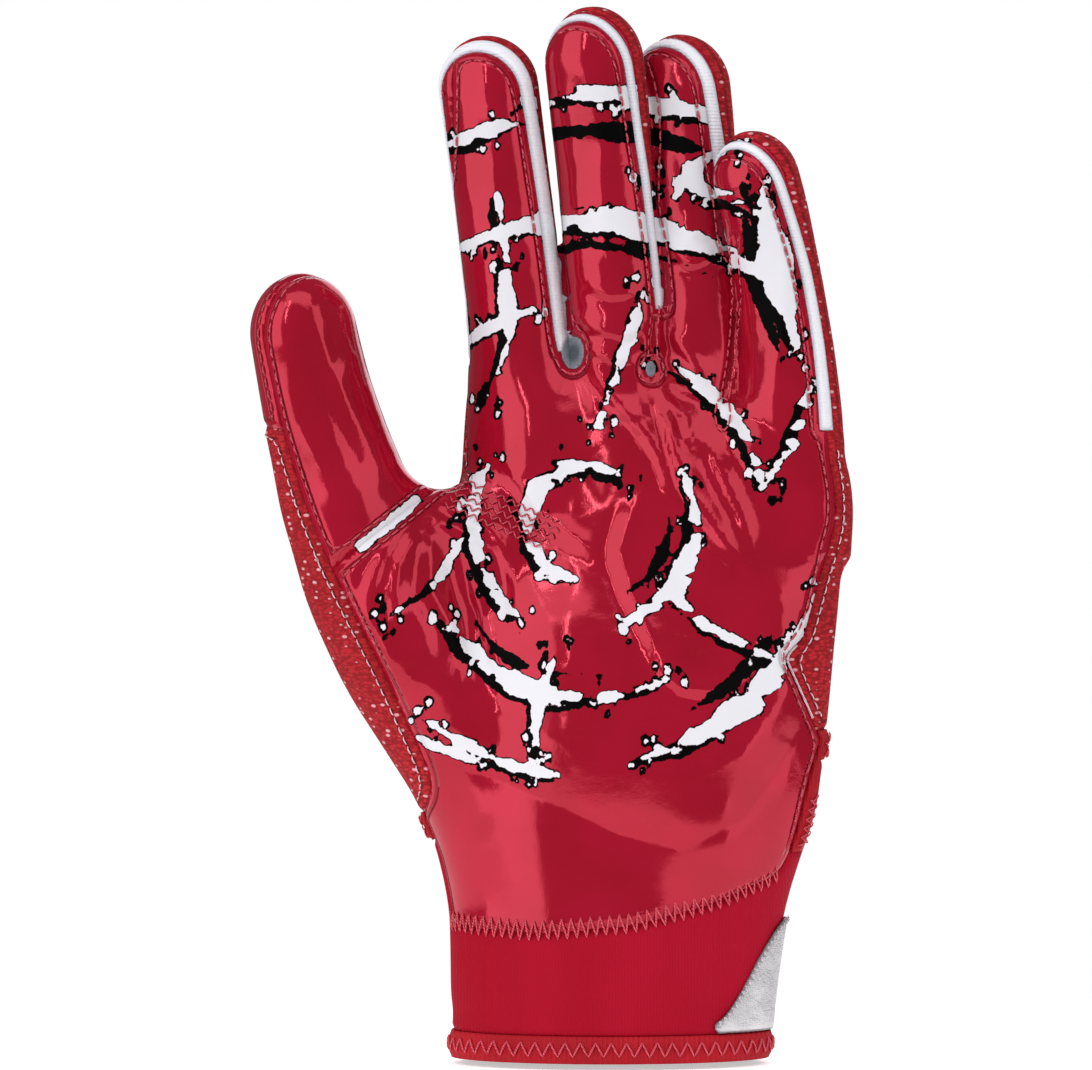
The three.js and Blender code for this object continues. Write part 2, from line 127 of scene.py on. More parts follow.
# Along, wide, deep, seam. The round tip is added by its own curve.
FINGER_ROWS = np.array([
    (-0.17, 0.9, 0.86, SIDEWALL_SHIFT), (0.0, 0.98, 0.98, SIDEWALL_SHIFT),
    (0.16, 1.02, 1.02, SIDEWALL_SHIFT), (0.32, 1.0, 1.0, SIDEWALL_SHIFT),
    (0.5, 0.99, 0.99, SIDEWALL_SHIFT), (0.68, 0.99, 0.97, SIDEWALL_SHIFT),
    (0.82, 1.0, 0.96, SIDEWALL_SHIFT), (1.0, 1.0, 0.95, SIDEWALL_SHIFT),
])
THUMB_ROWS = np.array([
    (0.0, 0.92, 0.96, 2), (0.14, 1.25, 1.34, 6.5), (0.28, 1.4, 1.48, 10), (0.43, 1.4, 1.42, 9),
    (0.59, 1.3, 1.24, 5.8), (0.74, 1.14, 1.06, 3.2), (0.86, 1.06, 0.98, 1.8), (1.0, 1.03, 0.95, 1.2),
])
WEB_ROWS = np.array([
    (0.0, 0.8, 0.8, 0.5), (0.33, 1.0, 1.0, 0.5), (0.67, 1.0, 1.0, 0.5), (1.0, 0.8, 0.8, 0.5),
])
ROWS = {"thumb": THUMB_ROWS, "web": WEB_ROWS}
TIP_START = {"thumb": 0.9, "web": 2.0}

# The cuff's upper edge: shares of half PALM_WIDTH across and of HAND_HEIGHT up.
CUFF_EDGE_FRONT = np.array([(-1.5, .215), (-.73, .197), (-.41, .19), (.12, .203), (.54, .234), (.9, .276),
                            (.97, .31), (1.09, .49), (1.5, .5)])
CUFF_EDGE_BACK = np.array([(-1.5, .34), (-.9, .37), (0, .45), (1.09, .49), (1.5, .5)])
PATCH_EDGE = np.array([(.53, .05), (.65, .085), (.73, .135), (.84, .185), (.92, .218), (1.5, .24)])
VENT_EDGE = np.array([(1.5, .82), (1.2, .82), (1.01, .63), (.91, .6), (1.12, .47), (1.5, .47)])
# The stripe seam between the thumb's front and the palm, as two points (x, z), and where it ends.
THUMB_STRIPE = np.array([(-61.0, 121.0), (-44.0, 134.5)])
STRIPE_END = -38
# Where the side binding and the patch begin, across, and the patch's gap over the hem.
SIDE_BINDING_FRONT = 30
PATCH_FRONT = 24.5
PATCH_GAP = 0.4


def smooth_table(rows, smoothing):
    """The table's columns as smooth curves, sampled finely: (samples of the first column, values)."""
    xs = rows[:, 0]
    grid = np.linspace(xs[0] - 4 * smoothing, xs[-1] + 4 * smoothing, CURVE_SAMPLES)
    reach = np.arange(-3, 3.01, 0.25) * smoothing
    weight = np.exp(-0.5 * (reach / smoothing) ** 2)
    columns = []
    for column in rows[:, 1:].T:
        first = (column[1] - column[0]) / (xs[1] - xs[0])
        last = (column[-1] - column[-2]) / (xs[-1] - xs[-2])
        total = 0
        for shift, share in zip(reach, weight):
            at = grid + shift
            below = np.where(at < xs[0], (at - xs[0]) * first, 0)
            beyond = np.where(at > xs[-1], (at - xs[-1]) * last, 0)
            total = total + share * (np.interp(at, xs, column) + below + beyond)
        columns.append(total / weight.sum())
    return grid, np.array(columns)


HAND_CURVES = smooth_table(HAND_ROWS, 0.025)
LIMB_CURVES = {name: smooth_table(ROWS.get(name, FINGER_ROWS), 0.05) for name in LIMBS}


def dot(a, b):
    return np.einsum("...i,...i->...", a, b)


def unit(a):
    return a / np.maximum(np.linalg.norm(a, axis=-1, keepdims=True), 1e-12)


def ellipse_distance(u, v, a, b):
    """About how far (u, v) lies outside the ellipse with half sizes a and b."""
    r = np.sqrt((u / a) ** 2 + (v / b) ** 2) + 1e-9
    slope = np.sqrt(u ** 2 / a ** 4 + v ** 2 / b ** 4) / r + 1e-9
    return np.maximum((r - 1) / slope, -np.minimum(a, b))


def hand_field(p):
    """For the hand: distance, sideways and palmward offsets, share of the height and front seam."""
    grid, (across, forward, wide, deep, turn, tilt) = HAND_CURVES

    def look(column, s):
        return np.interp(s, grid, column)

    def section(s):
        centre = [look(across, s) * PALM_WIDTH, -look(forward, s) * PALM_DEPTH, s * HAND_HEIGHT]
        return np.radians(look(tilt, s)), np.stack(centre, 1)

    s = p[:, 2] / HAND_HEIGHT
    for _ in range(3):
        s = np.clip(s, HAND_FOOT, 1.0)
        lean, c = section(s)
        off = (p[:, 0] - c[:, 0]) * -np.sin(lean) + (p[:, 2] - c[:, 2]) * np.cos(lean)
        s = s + off / HAND_HEIGHT
    s = np.clip(s, HAND_FOOT, 1.0)
    lean, c = section(s)
    turned = np.radians(look(turn, s))
    q = p - c
    sideways = q[:, 0] * np.cos(lean) + q[:, 2] * np.sin(lean)
    beyond = -q[:, 0] * np.sin(lean) + q[:, 2] * np.cos(lean)
    beyond = np.where(s >= 1.0, np.maximum(beyond, 0), 0)
    u = sideways * np.cos(turned) - q[:, 1] * np.sin(turned)
    v = -sideways * np.sin(turned) - q[:, 1] * np.cos(turned)
    d = ellipse_distance(u, v, look(wide, s) * PALM_WIDTH / 2, look(deep, s) * PALM_DEPTH / 2)
    d = np.where(beyond > 0, np.sqrt(np.maximum(d, 0) ** 2 + beyond ** 2), d)
    return d, u, v, s, v - PALM_SEAM


def limb_axes(name):
    """A limb's root and its outward and sideways directions there."""
    f = LIMBS[name]
    lean = math.radians(f["lean"])
    knuckle = np.array([f["across"] * PALM_WIDTH, f["start"], f["height"] * HAND_HEIGHT])
    outward = np.array([math.sin(lean), 0, math.cos(lean)])
    return knuckle, outward, np.array([math.cos(lean), 0, -math.sin(lean)])


def limb_frame(name, s):
    """Centre, side, palmward and upward directions of a limb at shares s of its length, and its slope."""
    f = LIMBS[name]
    knuckle, outward, across = limb_axes(name)
    s = np.asarray(s)[:, None]
    sway = across * 4 * f["sway"]
    curl = np.array([0, 1, 0]) * f["curl"]
    c = knuckle + outward * s * f["length"] + sway * s * (1 - s)
    c = c - curl * s ** 2
    t = outward * f["length"] + sway * (1 - 2 * s) - curl * 2 * s
    up = unit(t)
    flat = unit(across - up * dot(np.broadcast_to(across, up.shape), up)[:, None])
    roll = math.radians(-f["roll"])
    side = flat * math.cos(roll) + np.cross(up, flat) * math.sin(roll)
    return c, side, np.cross(side, up), up, t


def limb_sizes(name, s):
    """Half width, half depth and seam of a limb at shares s of its length."""
    f = LIMBS[name]
    grid, (wide, deep, seam) = LIMB_CURVES[name]
    start = TIP_START.get(name, ROUNDING_START)
    round_end = np.sqrt(np.clip(1 - (np.maximum(s - start, 0) / abs(1.0 - start)) ** 2, 0.0004, 1))
    flare = f["flare"] * np.clip(1 - s, 0, 1.2) ** 3
    a = (np.interp(s, grid, wide) * f["width"] + flare) / 2 * round_end
    b = np.interp(s, grid, deep) * f["depth"] / 2 * round_end
    return a, b, np.interp(s, grid, seam)


def limb_field(name, p):
    """For one limb: distance, sideways and palmward offsets, share of the length and front seam."""
    f = LIMBS[name]
    lowest = ROWS.get(name, FINGER_ROWS)[0, 0]
    knuckle, outward, _ = limb_axes(name)
    s = (p - knuckle) @ outward / f["length"]
    for _ in range(3):
        s = np.clip(s, lowest, 1.0)
        c, _, _, _, t = limb_frame(name, s)
        s = s + dot(p - c, t) / dot(t, t)
    s = np.clip(s, lowest, 1.0)
    c, side, palmward, up, _ = limb_frame(name, s)
    q = p - c
    u, v, w = dot(q, side), dot(q, palmward), dot(q, up)
    a, b, seam = limb_sizes(name, s)
    risen = np.clip((s - 0.3) / 0.4, 0, 1)
    turn = np.radians(f["root_turn"] + (f["turn"] - f["root_turn"]) * risen)
    d = ellipse_distance(u, v, a, b)
    w = np.where((s <= lowest) | (s >= 1.0), np.abs(w), 0)
    d = np.where(w > 1e-6, np.sqrt(np.maximum(d, 0) ** 2 + w ** 2), d)
    seam_offset = v * np.cos(turn) - u * np.sin(turn)
    return d, u, seam_offset, s, seam_offset - seam


def measure(p):
    """For every limb and the hand: distance, sideways and palmward offsets, share along and front seam."""
    found = {name: limb_field(name, p) for name in LIMBS}
    found["hand"] = hand_field(p)
    return found


def soft_min(a, b, k):
    """The smaller of two distances, rounded over k where they meet."""
    h = np.maximum(k - np.abs(a - b), 0) / k
    return np.minimum(a, b) - h * h * k / 4


def field(p):
    """The glove's outer surface is where this is zero; it is negative inside."""
    m = measure(p)
    parted = np.clip((p[:, 2] - KNUCKLE_TOP) / PARTING_HEIGHT, 0, 1)
    fingers = m["index"][0]
    for name in FINGERS[1:]:
        fingers = soft_min(fingers, m[name][0], FINGER_BLEND - FINGER_BLEND_DROP * parted)
    total = soft_min(m["hand"][0], fingers, HAND_BLEND)
    total = soft_min(total, m["web"][0], WEB_BLEND)
    return soft_min(total, m["thumb"][0], THUMB_BLEND)


def field_slope(p):
    """The direction in which the field grows, not quite of unit length."""
    step = 0.05
    slope = np.zeros_like(p)
    for axis in range(3):
        shift = np.zeros(3)
        shift[axis] = step
        slope[:, axis] = (field(p + shift) - field(p - shift)) / (2 * step)
    return slope


def surface_net(values, origin, step):
    """Vertices and quads of the zero surface of a grid of values."""
    inside = values < 0
    n = np.array(values.shape) - 1
    count = np.zeros(n, np.int8)
    for i, j, k in np.ndindex(2, 2, 2):
        count += inside[i:n[0] + i, j:n[1] + j, k:n[2] + k]
    mixed = (count > 0) & (count < 8)
    cells = np.argwhere(mixed)
    index = np.full(n, -1)
    index[mixed] = np.arange(len(cells))
    total = np.zeros((len(cells), 3))
    hits = np.zeros(len(cells))
    for axis in range(3):
        u, v = (axis + 1) % 3, (axis + 2) % 3
        for p, q in np.ndindex(2, 2):
            start = cells.copy()
            start[:, u] += p
            start[:, v] += q
            end = start.copy()
            end[:, axis] += 1
            a, b = values[tuple(start.T)], values[tuple(end.T)]
            cross = (a < 0) != (b < 0)
            point = start.astype(float)
            point[:, axis] += np.where(cross, a / np.where(cross, a - b, 1), 0)
            total[cross] += point[cross]
            hits += cross
    points = origin + step * total / hits[:, None]
    quads = []
    for axis in range(3):
        u, v = (axis + 1) % 3, (axis + 2) % 3
        low = np.take(inside, range(0, inside.shape[axis] - 1), axis)
        high = np.take(inside, range(1, inside.shape[axis]), axis)
        edges = np.argwhere(low != high)
        keep = (edges[:, u] > 0) & (edges[:, v] > 0) & (edges[:, u] < n[u]) & (edges[:, v] < n[v])
        edges = edges[keep]
        leaving = low[tuple(edges.T)]
        ring = []
        for du, dv in ((0, 0), (1, 0), (1, 1), (0, 1)):
            at = edges.copy()
            at[:, u] -= du
            at[:, v] -= dv
            ring.append(index[tuple(at.T)])
        ring = np.array(ring).T
        ring[~leaving] = ring[~leaving][:, ::-1]
        quads.append(ring)
    return points, np.concatenate(quads)


def triangles_of(points, quads):
    """Each quad as two triangles along its shorter diagonal."""
    ac = np.linalg.norm(points[quads[:, 0]] - points[quads[:, 2]], axis=1)
    bd = np.linalg.norm(points[quads[:, 1]] - points[quads[:, 3]], axis=1)
    short = (ac < bd)[:, None]
    first = np.where(short, quads[:, [0, 1, 2]], quads[:, [0, 1, 3]])
    second = np.where(short, quads[:, [0, 2, 3]], quads[:, [1, 2, 3]])
    return np.concatenate([first, second])


def whole_surface():
    """The glove's outer surface, even and closed: points and triangles.

    A coarse grid tells where the surface lies, and the fine one is worked out only there.
    """
    low = np.array([-94.0, -34.0, -4.0])
    high = np.array([64.0, 30.0, 256.0])
    counts = np.ceil((high - low) / GRID).astype(int)
    block = 4
    counts = (counts + block - 1) // block * block
    starts = np.meshgrid(*[np.arange(0, n, block) for n in counts], indexing="ij")
    blocks = np.stack(starts, -1).reshape(-1, 3)
    rough = field(low + GRID * (blocks + (block - 1) / 2))
    values = np.repeat(np.repeat(np.repeat(rough.reshape(counts // block), block, 0), block, 1), block, 2)
    near = blocks[np.abs(rough) < GRID * block * 1.3 + 1.5]
    inner = np.stack(np.meshgrid(*[np.arange(block)] * 3, indexing="ij"), -1).reshape(-1, 3)
    cells = (near[:, None] + inner[None]).reshape(-1, 3)
    values[tuple(cells.T)] = field(low + GRID * cells)
    points, quads = surface_net(values, low, GRID)
    edges = np.concatenate([quads[:, [0, 1]], quads[:, [1, 2]], quads[:, [2, 3]], quads[:, [3, 0]]])
    degree = np.maximum(np.bincount(edges[:, 0], minlength=len(points)), 1)[:, None]
    for _ in range(2):
        mean = np.zeros_like(points)
        for axis in range(3):
            mean[:, axis] = np.bincount(edges[:, 0], points[edges[:, 1], axis], len(points))
        points = 0.5 * points + 0.5 * mean / degree
        slope = field_slope(points)
        push = field(points) / np.maximum(dot(slope, slope), 0.2)
        points = points - np.clip(push, -0.6, 0.6)[:, None] * slope
    return points, triangles_of(points, quads)


def tidy(points, faces):
    """Only the points that the faces use."""
    used, flat = np.unique(faces, return_inverse=True)
    return points[used], flat.reshape(-1, 3)


def face_edges(faces):
    return np.concatenate([faces[:, [0, 1]], faces[:, [1, 2]], faces[:, [2, 0]]])


def split(mesh, scalar):
    """The mesh cut along scalar's zero line: the part where it is positive, then the part where it isn't."""
    points, faces = mesh
    value = scalar(points)
    edges = np.unique(np.sort(face_edges(faces), axis=1), axis=0)
    a, b = value[edges[:, 0]], value[edges[:, 1]]
    cross = (a * b) < 0
    share = np.where(cross, a / np.where(cross, a - b, 1), 0.5)
    points = points.copy()
    value = value.copy()
    for end, near in ((0, cross & (share < 0.2)), (1, cross & (share > 0.8))):
        at = points[edges[near, 0]] + share[near, None] * (points[edges[near, 1]] - points[edges[near, 0]])
        points[edges[near, end]] = at
        value[edges[near, end]] = 0
    sign = np.sign(value)
    cut = edges[sign[edges[:, 0]] * sign[edges[:, 1]] < 0]
    va, vb = value[cut[:, 0]], value[cut[:, 1]]
    where = (va / (va - vb))[:, None]
    new = points[cut[:, 0]] + where * (points[cut[:, 1]] - points[cut[:, 0]])
    size = len(points)
    keys = cut[:, 0] * size + cut[:, 1]
    order = np.argsort(keys)
    keys_sorted = keys[order]
    points = np.concatenate([points, new])

    def middle(p, q):
        key = np.minimum(p, q) * size + np.maximum(p, q)
        return size + order[np.searchsorted(keys_sorted, key)]

    s = sign[faces]
    has_plus, has_minus = (s > 0).any(1), (s < 0).any(1)
    plus, minus = [faces[~has_minus]], [faces[has_minus & ~has_plus]]
    mixed = faces[has_plus & has_minus]
    s = s[has_plus & has_minus]
    for turn in range(3):
        f, g = np.roll(mixed, -turn, 1), np.roll(s, -turn, 1)
        for up in (1, -1):
            lone = (g[:, 0] == up) & (g[:, 1] == -up) & (g[:, 2] == -up)
            p, q, r = f[lone].T
            pq, pr = middle(p, q), middle(p, r)
            mine, other = (plus, minus) if up > 0 else (minus, plus)
            mine.append(np.stack([p, pq, pr], 1))
            other.append(np.stack([pq, q, r], 1))
            other.append(np.stack([pq, r, pr], 1))
            half = (g[:, 0] == 0) & (g[:, 1] == up) & (g[:, 2] == -up)
            p, q, r = f[half].T
            qr = middle(q, r)
            mine.append(np.stack([p, q, qr], 1))
            other.append(np.stack([p, qr, r], 1))
    return tidy(points, np.concatenate(plus)), tidy(points, np.concatenate(minus))


def joined(*meshes):
    """Several meshes as one, with the points that they share welded."""
    points = np.concatenate([m[0] for m in meshes])
    shifts = np.cumsum([0] + [len(m[0]) for m in meshes[:-1]])
    faces = np.concatenate([m[1] + shift for m, shift in zip(meshes, shifts)])
    places = np.round(points / WELD).astype(np.int64)
    _, first, inverse = np.unique(places, axis=0, return_index=True, return_inverse=True)
    faces = inverse.reshape(-1)[faces]
    good = (faces[:, 0] != faces[:, 1]) & (faces[:, 1] != faces[:, 2]) & (faces[:, 2] != faces[:, 0])
    return tidy(points[first], faces[good])


def polygon_distance(q, corners):
    """Distance of points q (n, 2) from a polygon's edge: positive inside it."""
    corners = np.asarray(corners, float)
    best = np.full(len(q), FAR)
    inside = np.zeros(len(q), bool)
    for a, b in zip(corners, np.roll(corners, -1, 0)):
        along = b - a
        share = np.clip((q - a) @ along / (along @ along + 1e-12), 0, 1)
        best = np.minimum(best, np.linalg.norm(q - a - share[:, None] * along, axis=1))
        crossing = (a[1] > q[:, 1]) != (b[1] > q[:, 1])
        rise = np.where(abs(b[1] - a[1]) < 1e-12, 1e-12, b[1] - a[1])
        at = a[0] + (q[:, 1] - a[1]) / rise * (b[0] - a[0])
        inside ^= crossing & (q[:, 0] < at)
    return np.where(inside, best, -best)


def line_distance(q, corners):
    """Points q (n, 2) and an open line: distance, share of the line's length there, and signed side."""
    corners = np.asarray(corners, float)
    steps = np.linalg.norm(np.diff(corners, axis=0), axis=1)
    starts = np.concatenate([[0], np.cumsum(steps)])
    best = np.full(len(q), FAR)
    along_best = np.zeros(len(q))
    side_best = np.zeros(len(q))
    for a, b, start, length in zip(corners[:-1], corners[1:], starts[:-1], steps):
        along = (b - a) / length
        run = np.clip((q - a) @ along, 0, length)
        off = q - a - run[:, None] * along
        d = np.linalg.norm(off, axis=1)
        nearer = d < best
        best = np.where(nearer, d, best)
        along_best = np.where(nearer, (start + run) / starts[-1], along_best)
        side_best = np.where(nearer, off @ np.array([-along[1], along[0]]), side_best)
    return best, along_best, side_best


def drawn(edge):
    """Edge shares as millimetres on the picture plane."""
    return np.stack([edge[:, 0] * PALM_WIDTH / 2, edge[:, 1] * HAND_HEIGHT], 1)


def height_of(edge, x):
    """The height of an edge line at x, with its corners eased."""
    line = drawn(edge)
    return sum(np.interp(x + shift, line[:, 0], line[:, 1]) for shift in (-3, -1.5, 0, 1.5, 3)) / 5


def nearest_finger(m):
    """Of each point's nearest finger: distance, palmward offset, height over the sidewall's foot, share of
    the length and the sidewall's width."""
    which = np.array([m[name][0] for name in FINGERS]).argmin(0)

    def pick(k):
        return np.array([m[name][k] for name in FINGERS])[which, np.arange(len(which))]

    def size(key):
        return np.array([LIMBS[name][key] for name in FINGERS])[which]

    return pick(0), pick(2), (pick(3) - size("foot")) * size("length"), pick(3), size("side")


def slit_end(p):
    """About how far points lie inside the open ends of the slits, on the palm side."""
    best = np.full(len(p), OUTSIDE)
    for x, z, across, up in SLIT_ENDS:
        best = np.maximum(best, (1 - np.hypot((p[:, 0] - x) / across, (p[:, 2] - z) / up)) * across)
    return np.where(p[:, 1] < 4, best, OUTSIDE)


def side_zone(p):
    """Positive on the fingers' white sidewalls and in the ends of the slits."""
    d, v, above_foot, s, width = nearest_finger(measure(p))
    palmward, share = [np.interp(s, SIDE_ROWS[:, 0], column) for column in SIDE_ROWS[:, 1:].T]
    band = width * share / 2 - np.abs(v - palmward)
    band = np.minimum(band, above_foot)
    return np.minimum(np.maximum(band, slit_end(p)), 2.5 - d)


def owned_by(name):
    """A function that is positive where this finger is the nearest."""
    def scalar(p):
        m = measure(p)
        return np.min([m[other][0] for other in FINGERS if other != name], axis=0) - m[name][0]
    return scalar


def front_zone(p):
    """Positive on the palm's side of the seam round the hand, the fingers and the thumb."""
    m = measure(p)
    total, weights = 0, 1e-9
    for d, _, _, _, front in m.values():
        weight = np.exp(-(np.maximum(d, 0) / 2.2) ** 2)
        total = total + weight * front
        weights = weights + weight
    vent = polygon_distance(p[:, [0, 2]], drawn(VENT_EDGE))
    return np.minimum(total / weights, -vent)


def above_front_edge(p):
    return p[:, 2] - height_of(CUFF_EDGE_FRONT, p[:, 0])


def above_back_edge(p):
    return p[:, 2] - height_of(CUFF_EDGE_BACK, p[:, 0])


def above_binding(p):
    return above_back_edge(p) + BINDING_WIDTH


def above_side_binding(p):
    return np.minimum(p[:, 2] - CUFF_EDGE_FRONT[6, 1] * HAND_HEIGHT, p[:, 0] - SIDE_BINDING_FRONT)


def above_hem(p):
    return p[:, 2] - HEM_HEIGHT


def above_stripe(p):
    start, end = THUMB_STRIPE
    along = (end - start) / np.linalg.norm(end - start)
    off = (p[:, [0, 2]] - start) @ np.array([-along[1], along[0]])
    return np.minimum(off, STRIPE_END - p[:, 0])


def thumb_cap_zone(p):
    d, _, _, s, _ = measure(p)["thumb"]
    return np.minimum((s - 1) * LIMBS["thumb"]["length"] + CAP_LENGTH, 4 - d)


def patch_zone(p):
    under_edge = height_of(PATCH_EDGE, p[:, 0]) - p[:, 2]
    return np.min([under_edge, p[:, 2] - HEM_HEIGHT - PATCH_GAP, p[:, 0] - PATCH_FRONT], axis=0)


def edge_loop(faces):
    """The edges that only one face uses, in that face's direction."""
    edges = face_edges(faces)
    pairs = np.sort(edges, axis=1)
    _, inverse, counts = np.unique(pairs, axis=0, return_inverse=True, return_counts=True)
    return edges[counts[inverse.reshape(-1)] == 1]


def distance_from(points, targets):
    """Each point's distance from the nearest of the targets."""
    tree = kdtree.KDTree(len(targets))
    for i, co in enumerate(targets):
        tree.insert(co, i)
    tree.balance()
    return np.array([tree.find(co)[2] for co in points])


def mesh_object(name, points, faces, attributes, materials):
    mesh = bpy.data.meshes.new(name)
    mesh.from_pydata((points * MM).tolist(), [], faces.tolist())
    mesh.polygons.foreach_set("use_smooth", np.ones(len(mesh.polygons), bool))
    for key, values in attributes.items():
        added = mesh.attributes.new(key, "FLOAT", "POINT")
        added.data.foreach_set("value", np.asarray(values, np.float32))
    mesh.update()
    mesh.validate()
    obj = bpy.data.objects.new(name, mesh)
    bpy.context.scene.collection.objects.link(obj)
    for material in materials:
        mesh.materials.append(material)
    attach(obj, "root")
    return obj


def panel(name, mesh, nodes, material, lining, lift=0.0, wall=1.3, drop=0.6, relief=None,
          prints=None):
    """A sewn panel of cloth with rolled edges and real thickness, in place of those nodes.

    Its outer face lies lift over the smooth surface, its inner face wall under it, and its edge rolls in by
    drop.
    """
    points, faces = mesh
    normals = unit(field_slope(points))
    loop = edge_loop(faces)
    edge = distance_from(points, points[np.unique(loop)])
    height = lift - drop * np.exp(-(edge / EDGE_ROLL) ** 2)
    if relief is not None:
        height = height + relief(points, normals) * (1 - np.exp(-(edge / RELIEF_FADE) ** 2))
    outer = points + normals * height[:, None]
    inner = points - normals * wall
    size = len(points)
    rim = np.concatenate([np.stack([loop[:, 1], loop[:, 0], loop[:, 0] + size], 1),
                          np.stack([loop[:, 1], loop[:, 0] + size, loop[:, 1] + size], 1)])
    all_faces = np.concatenate([faces, faces[:, ::-1] + size, rim])
    attributes = {"edge": np.concatenate([edge, edge])}
    for key, values in (prints(points) if prints else {}).items():
        attributes[key] = np.concatenate([values, values])
    obj = mesh_object(name, np.concatenate([outer, inner]), all_faces, attributes, [material, lining])
    indices = np.zeros(len(obj.data.polygons), np.int32)
    indices[len(faces):2 * len(faces)] = 1
    obj.data.polygons.foreach_set("material_index", indices)
    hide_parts(*nodes)
    return obj


def noise(p, size, seed):
    """Smooth noise from -1 to 1 at points p, with lumps about size across."""
    q = p / size
    base = np.floor(q).astype(np.int64)
    f = q - base
    f = f * f * (3 - 2 * f)
    total = 0
    for corner in np.ndindex(2, 2, 2):
        cell = base + corner
        mixed = (cell[:, 0] * 73856093) ^ (cell[:, 1] * 19349663) ^ (cell[:, 2] * 83492791)
        mixed = mixed ^ (seed * 2654435761)
        mixed = (mixed ^ (mixed >> 13)) * 1274126177 & 0xFFFFFFFF
        value = (mixed ^ (mixed >> 16)) & 0xFFFF
        weight = np.prod(np.where(corner, f, 1 - f), axis=1)
        total = total + weight * (value / 32767.5 - 1)
    return total


# Folds in the coated palm: lines on the picture plane (x, z), height, width on each side of the crest.
FOLDS = [
    ([(11, 163), (13.5, 153), (15, 145), (17.5, 137), (22, 130), (27, 123), (34, 116)], 1.9, 1.0, 4.2),
    ([(-6, 172), (-3, 163), (1, 157), (8, 149), (12, 143), (15, 134)], 1.7, 1.0, 4.0),
    ([(-8.5, 178), (-4, 174.5), (3, 172.5), (9, 175)], 1.3, 0.8, 2.6),
    ([(-6, 185), (0, 182), (6, 183)], 0.9, 0.8, 2.6),
    ([(-5.5, 170), (1, 166.8), (7.5, 166)], 1.2, 0.7, 2.2),
    ([(9.6, 160), (12, 152), (15.5, 143)], 0.9, 0.7, 1.8),
    ([(12.5, 158), (17, 153), (19, 146)], 0.9, 0.7, 2.0),
    ([(-40, 132), (-33, 129), (-26, 130)], 0.8, 0.6, 1.6),
    ([(-41, 128), (-33, 124), (-25, 122)], 0.8, 0.6, 1.6),
    ([(14, 174), (19, 168), (23, 162)], 1.5, 0.8, 2.6),
    ([(13.5, 168), (19, 163.5), (22.5, 160)], 1.1, 0.8, 2.2),
    ([(15, 193), (19.5, 190), (25, 192)], 1.1, 1.0, 2.6),
    ([(15.5, 200), (20, 196.5), (26, 199)], 0.9, 1.0, 2.4),
    ([(28, 152), (32, 143), (36, 135)], 1.4, 0.9, 3.2),
    ([(23, 147), (27, 138), (31, 130), (33, 122)], 1.4, 1.0, 3.2),
    ([(-25, 143), (-17, 131), (-8, 124), (0, 119)], 1.4, 1.4, 4.4),
    ([(5, 131), (2, 121), (5, 111), (10, 100), (14, 92)], 1.4, 1.4, 4.6),
    ([(9.5, 95), (16, 89), (23, 88), (29, 92), (33, 98)], 1.5, 1.2, 4.4),
    ([(-52, 124), (-56, 116), (-58, 109)], 1.1, 1.0, 2.8),
    ([(-46, 126), (-51, 118), (-52, 111), (-50, 102)], 1.4, 1.0, 3.4),
    ([(-43, 124), (-44, 112), (-40, 103), (-38, 95)], 1.2, 1.2, 3.6),
    ([(-36, 121), (-35, 110), (-32, 99), (-27, 88)], 1.4, 1.2, 4.4),
    ([(-33, 134), (-27, 124), (-22, 113), (-21, 104)], 1.3, 1.2, 3.8),
    ([(-30, 236), (-28, 222), (-27, 205), (-25, 190)], 0.6, 1.6, 3.4),
    ([(-7, 236), (-2, 218), (-2, 200), (1, 186)], 0.6, 1.6, 3.6),
    ([(18, 236), (20, 216), (22, 206)], 0.6, 1.6, 3.2),
    ([(37, 206), (41, 190), (41, 172), (37, 158)], 0.7, 1.6, 3.4),
    ([(-70, 176), (-66, 164), (-60, 150), (-54, 138)], 0.9, 1.4, 4.2),
    ([(-74, 152), (-70, 144), (-64, 132)], 0.7, 1.4, 3.0),
    ([(-64, 176), (-62, 168), (-64, 160)], 0.6, 1.2, 3.0),
]
# Closed slits: grooves between two edges sewn together.
GROOVES = [[(10.6, 180), (10, 172), (9.8, 167)], [(29.6, 196), (30.4, 182), (29, 168), (27, 157)]]
# Full, rounded places under the coat: x, z, radius, height.
PADS = [(-18, 148, 13, 1.8), (-13, 101, 17, 2.0), (30, 146, 14, 1.0), (-44, 104, 15, 1.0),
        (36, 104, 14, 1.4), (17, 118, 12, 1.2), (25, 51, 14, 2.0)]
# The lower edge of the palm's full part, over the wrist.
HEEL_LINE = np.array([(-60, 82), (-43, 73), (-21, 64), (2, 54), (17, 51), (31, 58), (37, 66), (52, 90)])


